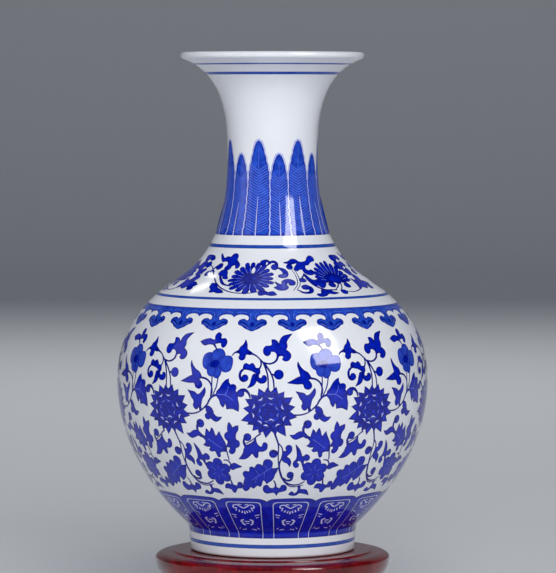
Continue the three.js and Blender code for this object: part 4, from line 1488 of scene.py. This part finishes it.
class VASE_OT_felt_pads(bpy.types.Operator):
    """Cut the felt pads under the feet"""
    bl_idname = "vase.felt_pads"
    bl_label = "Felt Pads"

    def execute(self, context):
        for node in sorted(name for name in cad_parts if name.startswith("felt_pad")):
            made = turn(node + "_wool", pad_section(node), SMALL_SIDES, wool_felt(),
                        centre=middle_of(node), bottom=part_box(node)[0][2])
            replace(made, node, body="stand", finish="felt")
        return {"FINISHED"}


class VASE_OT_stage(bpy.types.Operator):
    """Set the pale floor, the soft lights and the camera"""
    bl_idname = "vase.stage"
    bl_label = "Studio Stage"

    # name, bearing from the camera's side towards the right, height angle, distance, width, height, power,
    # lights matt surfaces, shows in glossy ones
    LIGHTS = (
        ("key_softbox", 42, 36, 1.25, 0.44, 0.90, 13.6, False, True),
        ("back_strip", -141, 46, 1.3, 0.06, 0.17, 0.36, False, True),
        ("left_fill", -68, 20, 1.8, 1.0, 1.4, 3.0, True, True),
        ("front_fill", 8, 29, 2.6, 1.6, 1.4, 50.0, True, False),
        ("rear_fill", 180, 40, 2.9, 1.8, 1.4, 26.0, True, False),
    )

    # the sweep of paper: half its width, how far back and high the wall is, and the bend into it
    SIDE, BACK, TOP, BEND = 6.0, 4.5, 3.6, 0.8
    AIR_STRENGTH = 0.16
    CAMERA_PLACE = (3.65 * MM, -2.35, 0.3425)
    CAMERA_DIP = 3.03  # degrees below the level
    CAMERA_LENS, CAMERA_SENSOR = 222.4, 36.0

    def execute(self, context):
        scene = context.scene
        middle = Vector((0, 0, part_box("neck_and_mouth")[1][2] * 0.5))
        verts, faces = [], []
        bend, turned = self.BEND, np.linspace(0, pi / 2, 17)[1:]
        section = [(-self.SIDE, 0.0), (self.BACK - bend, 0.0)]
        section += [(self.BACK - bend + bend * sin(a), bend - bend * cos(a)) for a in turned]
        section += [(self.BACK, self.TOP)]
        for y, z in section:
            verts += [(-self.SIDE, y, z), (self.SIDE, y, z)]
        for i in range(len(section) - 1):
            faces.append((2 * i, 2 * i + 1, 2 * i + 3, 2 * i + 2))
        mesh = bpy.data.meshes.new("stage_sweep")
        mesh.from_pydata(verts, [], faces)
        mesh.polygons.foreach_set("use_smooth", np.ones(len(faces), dtype=bool))
        mesh.materials.append(stage_paper())
        sweep_object = bpy.data.objects.new("stage_sweep", mesh)
        scene.collection.objects.link(sweep_object)

        for name, bearing, rise, distance, width, height, power, matt, glossy in self.LIGHTS:
            lamp = bpy.data.lights.new(name, "AREA")
            lamp.shape = "RECTANGLE"
            lamp.size, lamp.size_y, lamp.energy = width, height, power
            holder = bpy.data.objects.new(name, lamp)
            scene.collection.objects.link(holder)
            level = cos(radians(rise))
            way = Vector((sin(radians(bearing)) * level, -cos(radians(bearing)) * level, sin(radians(rise))))
            holder.location = middle + way * distance
            holder.rotation_euler = way.to_track_quat("Z", "Y").to_euler()
            holder.visible_camera, holder.visible_diffuse, holder.visible_glossy = False, matt, glossy

        world = bpy.data.worlds.new("studio_air")
        world.use_nodes = True
        world.node_tree.nodes["Background"].inputs["Color"].default_value = srgb("#DCE4F4")
        world.node_tree.nodes["Background"].inputs["Strength"].default_value = self.AIR_STRENGTH
        scene.world = world
        world.cycles_visibility.glossy = False
        scene.view_settings.view_transform = "Standard"

        camera = bpy.data.cameras.new("studio_camera")
        camera.lens, camera.sensor_width = self.CAMERA_LENS, self.CAMERA_SENSOR
        camera.clip_end = 20
        holder = bpy.data.objects.new("studio_camera", camera)
        scene.collection.objects.link(holder)
        holder.location = self.CAMERA_PLACE
        holder.rotation_euler = (radians(90 - self.CAMERA_DIP), 0, 0)
        scene.camera = holder
        return {"FINISHED"}


class VASE_PT_panel(bpy.types.Panel):
    """Lists the steps of the vase in the sidebar"""
    bl_idname = "VASE_PT_panel"
    bl_label = "Bottle Vase"
    bl_space_type = "VIEW_3D"
    bl_region_type = "UI"
    bl_category = "Vase"

    def draw(self, context):
        for step in STEPS:
            self.layout.operator(step.bl_idname)


STEPS = (VASE_OT_stage, VASE_OT_porcelain, VASE_OT_banding_lines, VASE_OT_lotus_scroll, VASE_OT_borders,
         VASE_OT_stand, VASE_OT_felt_pads)
GROUPS = {"vase_sizes": VaseSizes, "stand_sizes": StandSizes, "vase_finishes": Finishes}


def register():
    for group in GROUPS.values():
        bpy.utils.register_class(group)
    for name, group in GROUPS.items():
        setattr(bpy.types.Scene, name, PointerProperty(type=group))
    for step in (*STEPS, VASE_PT_panel):
        bpy.utils.register_class(step)


def unregister():
    for step in (VASE_PT_panel, *reversed(STEPS)):
        bpy.utils.unregister_class(step)
    for name in GROUPS:
        delattr(bpy.types.Scene, name)
    for group in reversed(GROUPS.values()):
        bpy.utils.unregister_class(group)


def main():
    """Builds every piece in order."""
    register()
    for step in STEPS:
        group, name = step.bl_idname.split(".")
        getattr(getattr(bpy.ops, group), name)()


if __name__ == "__main__":
    main()
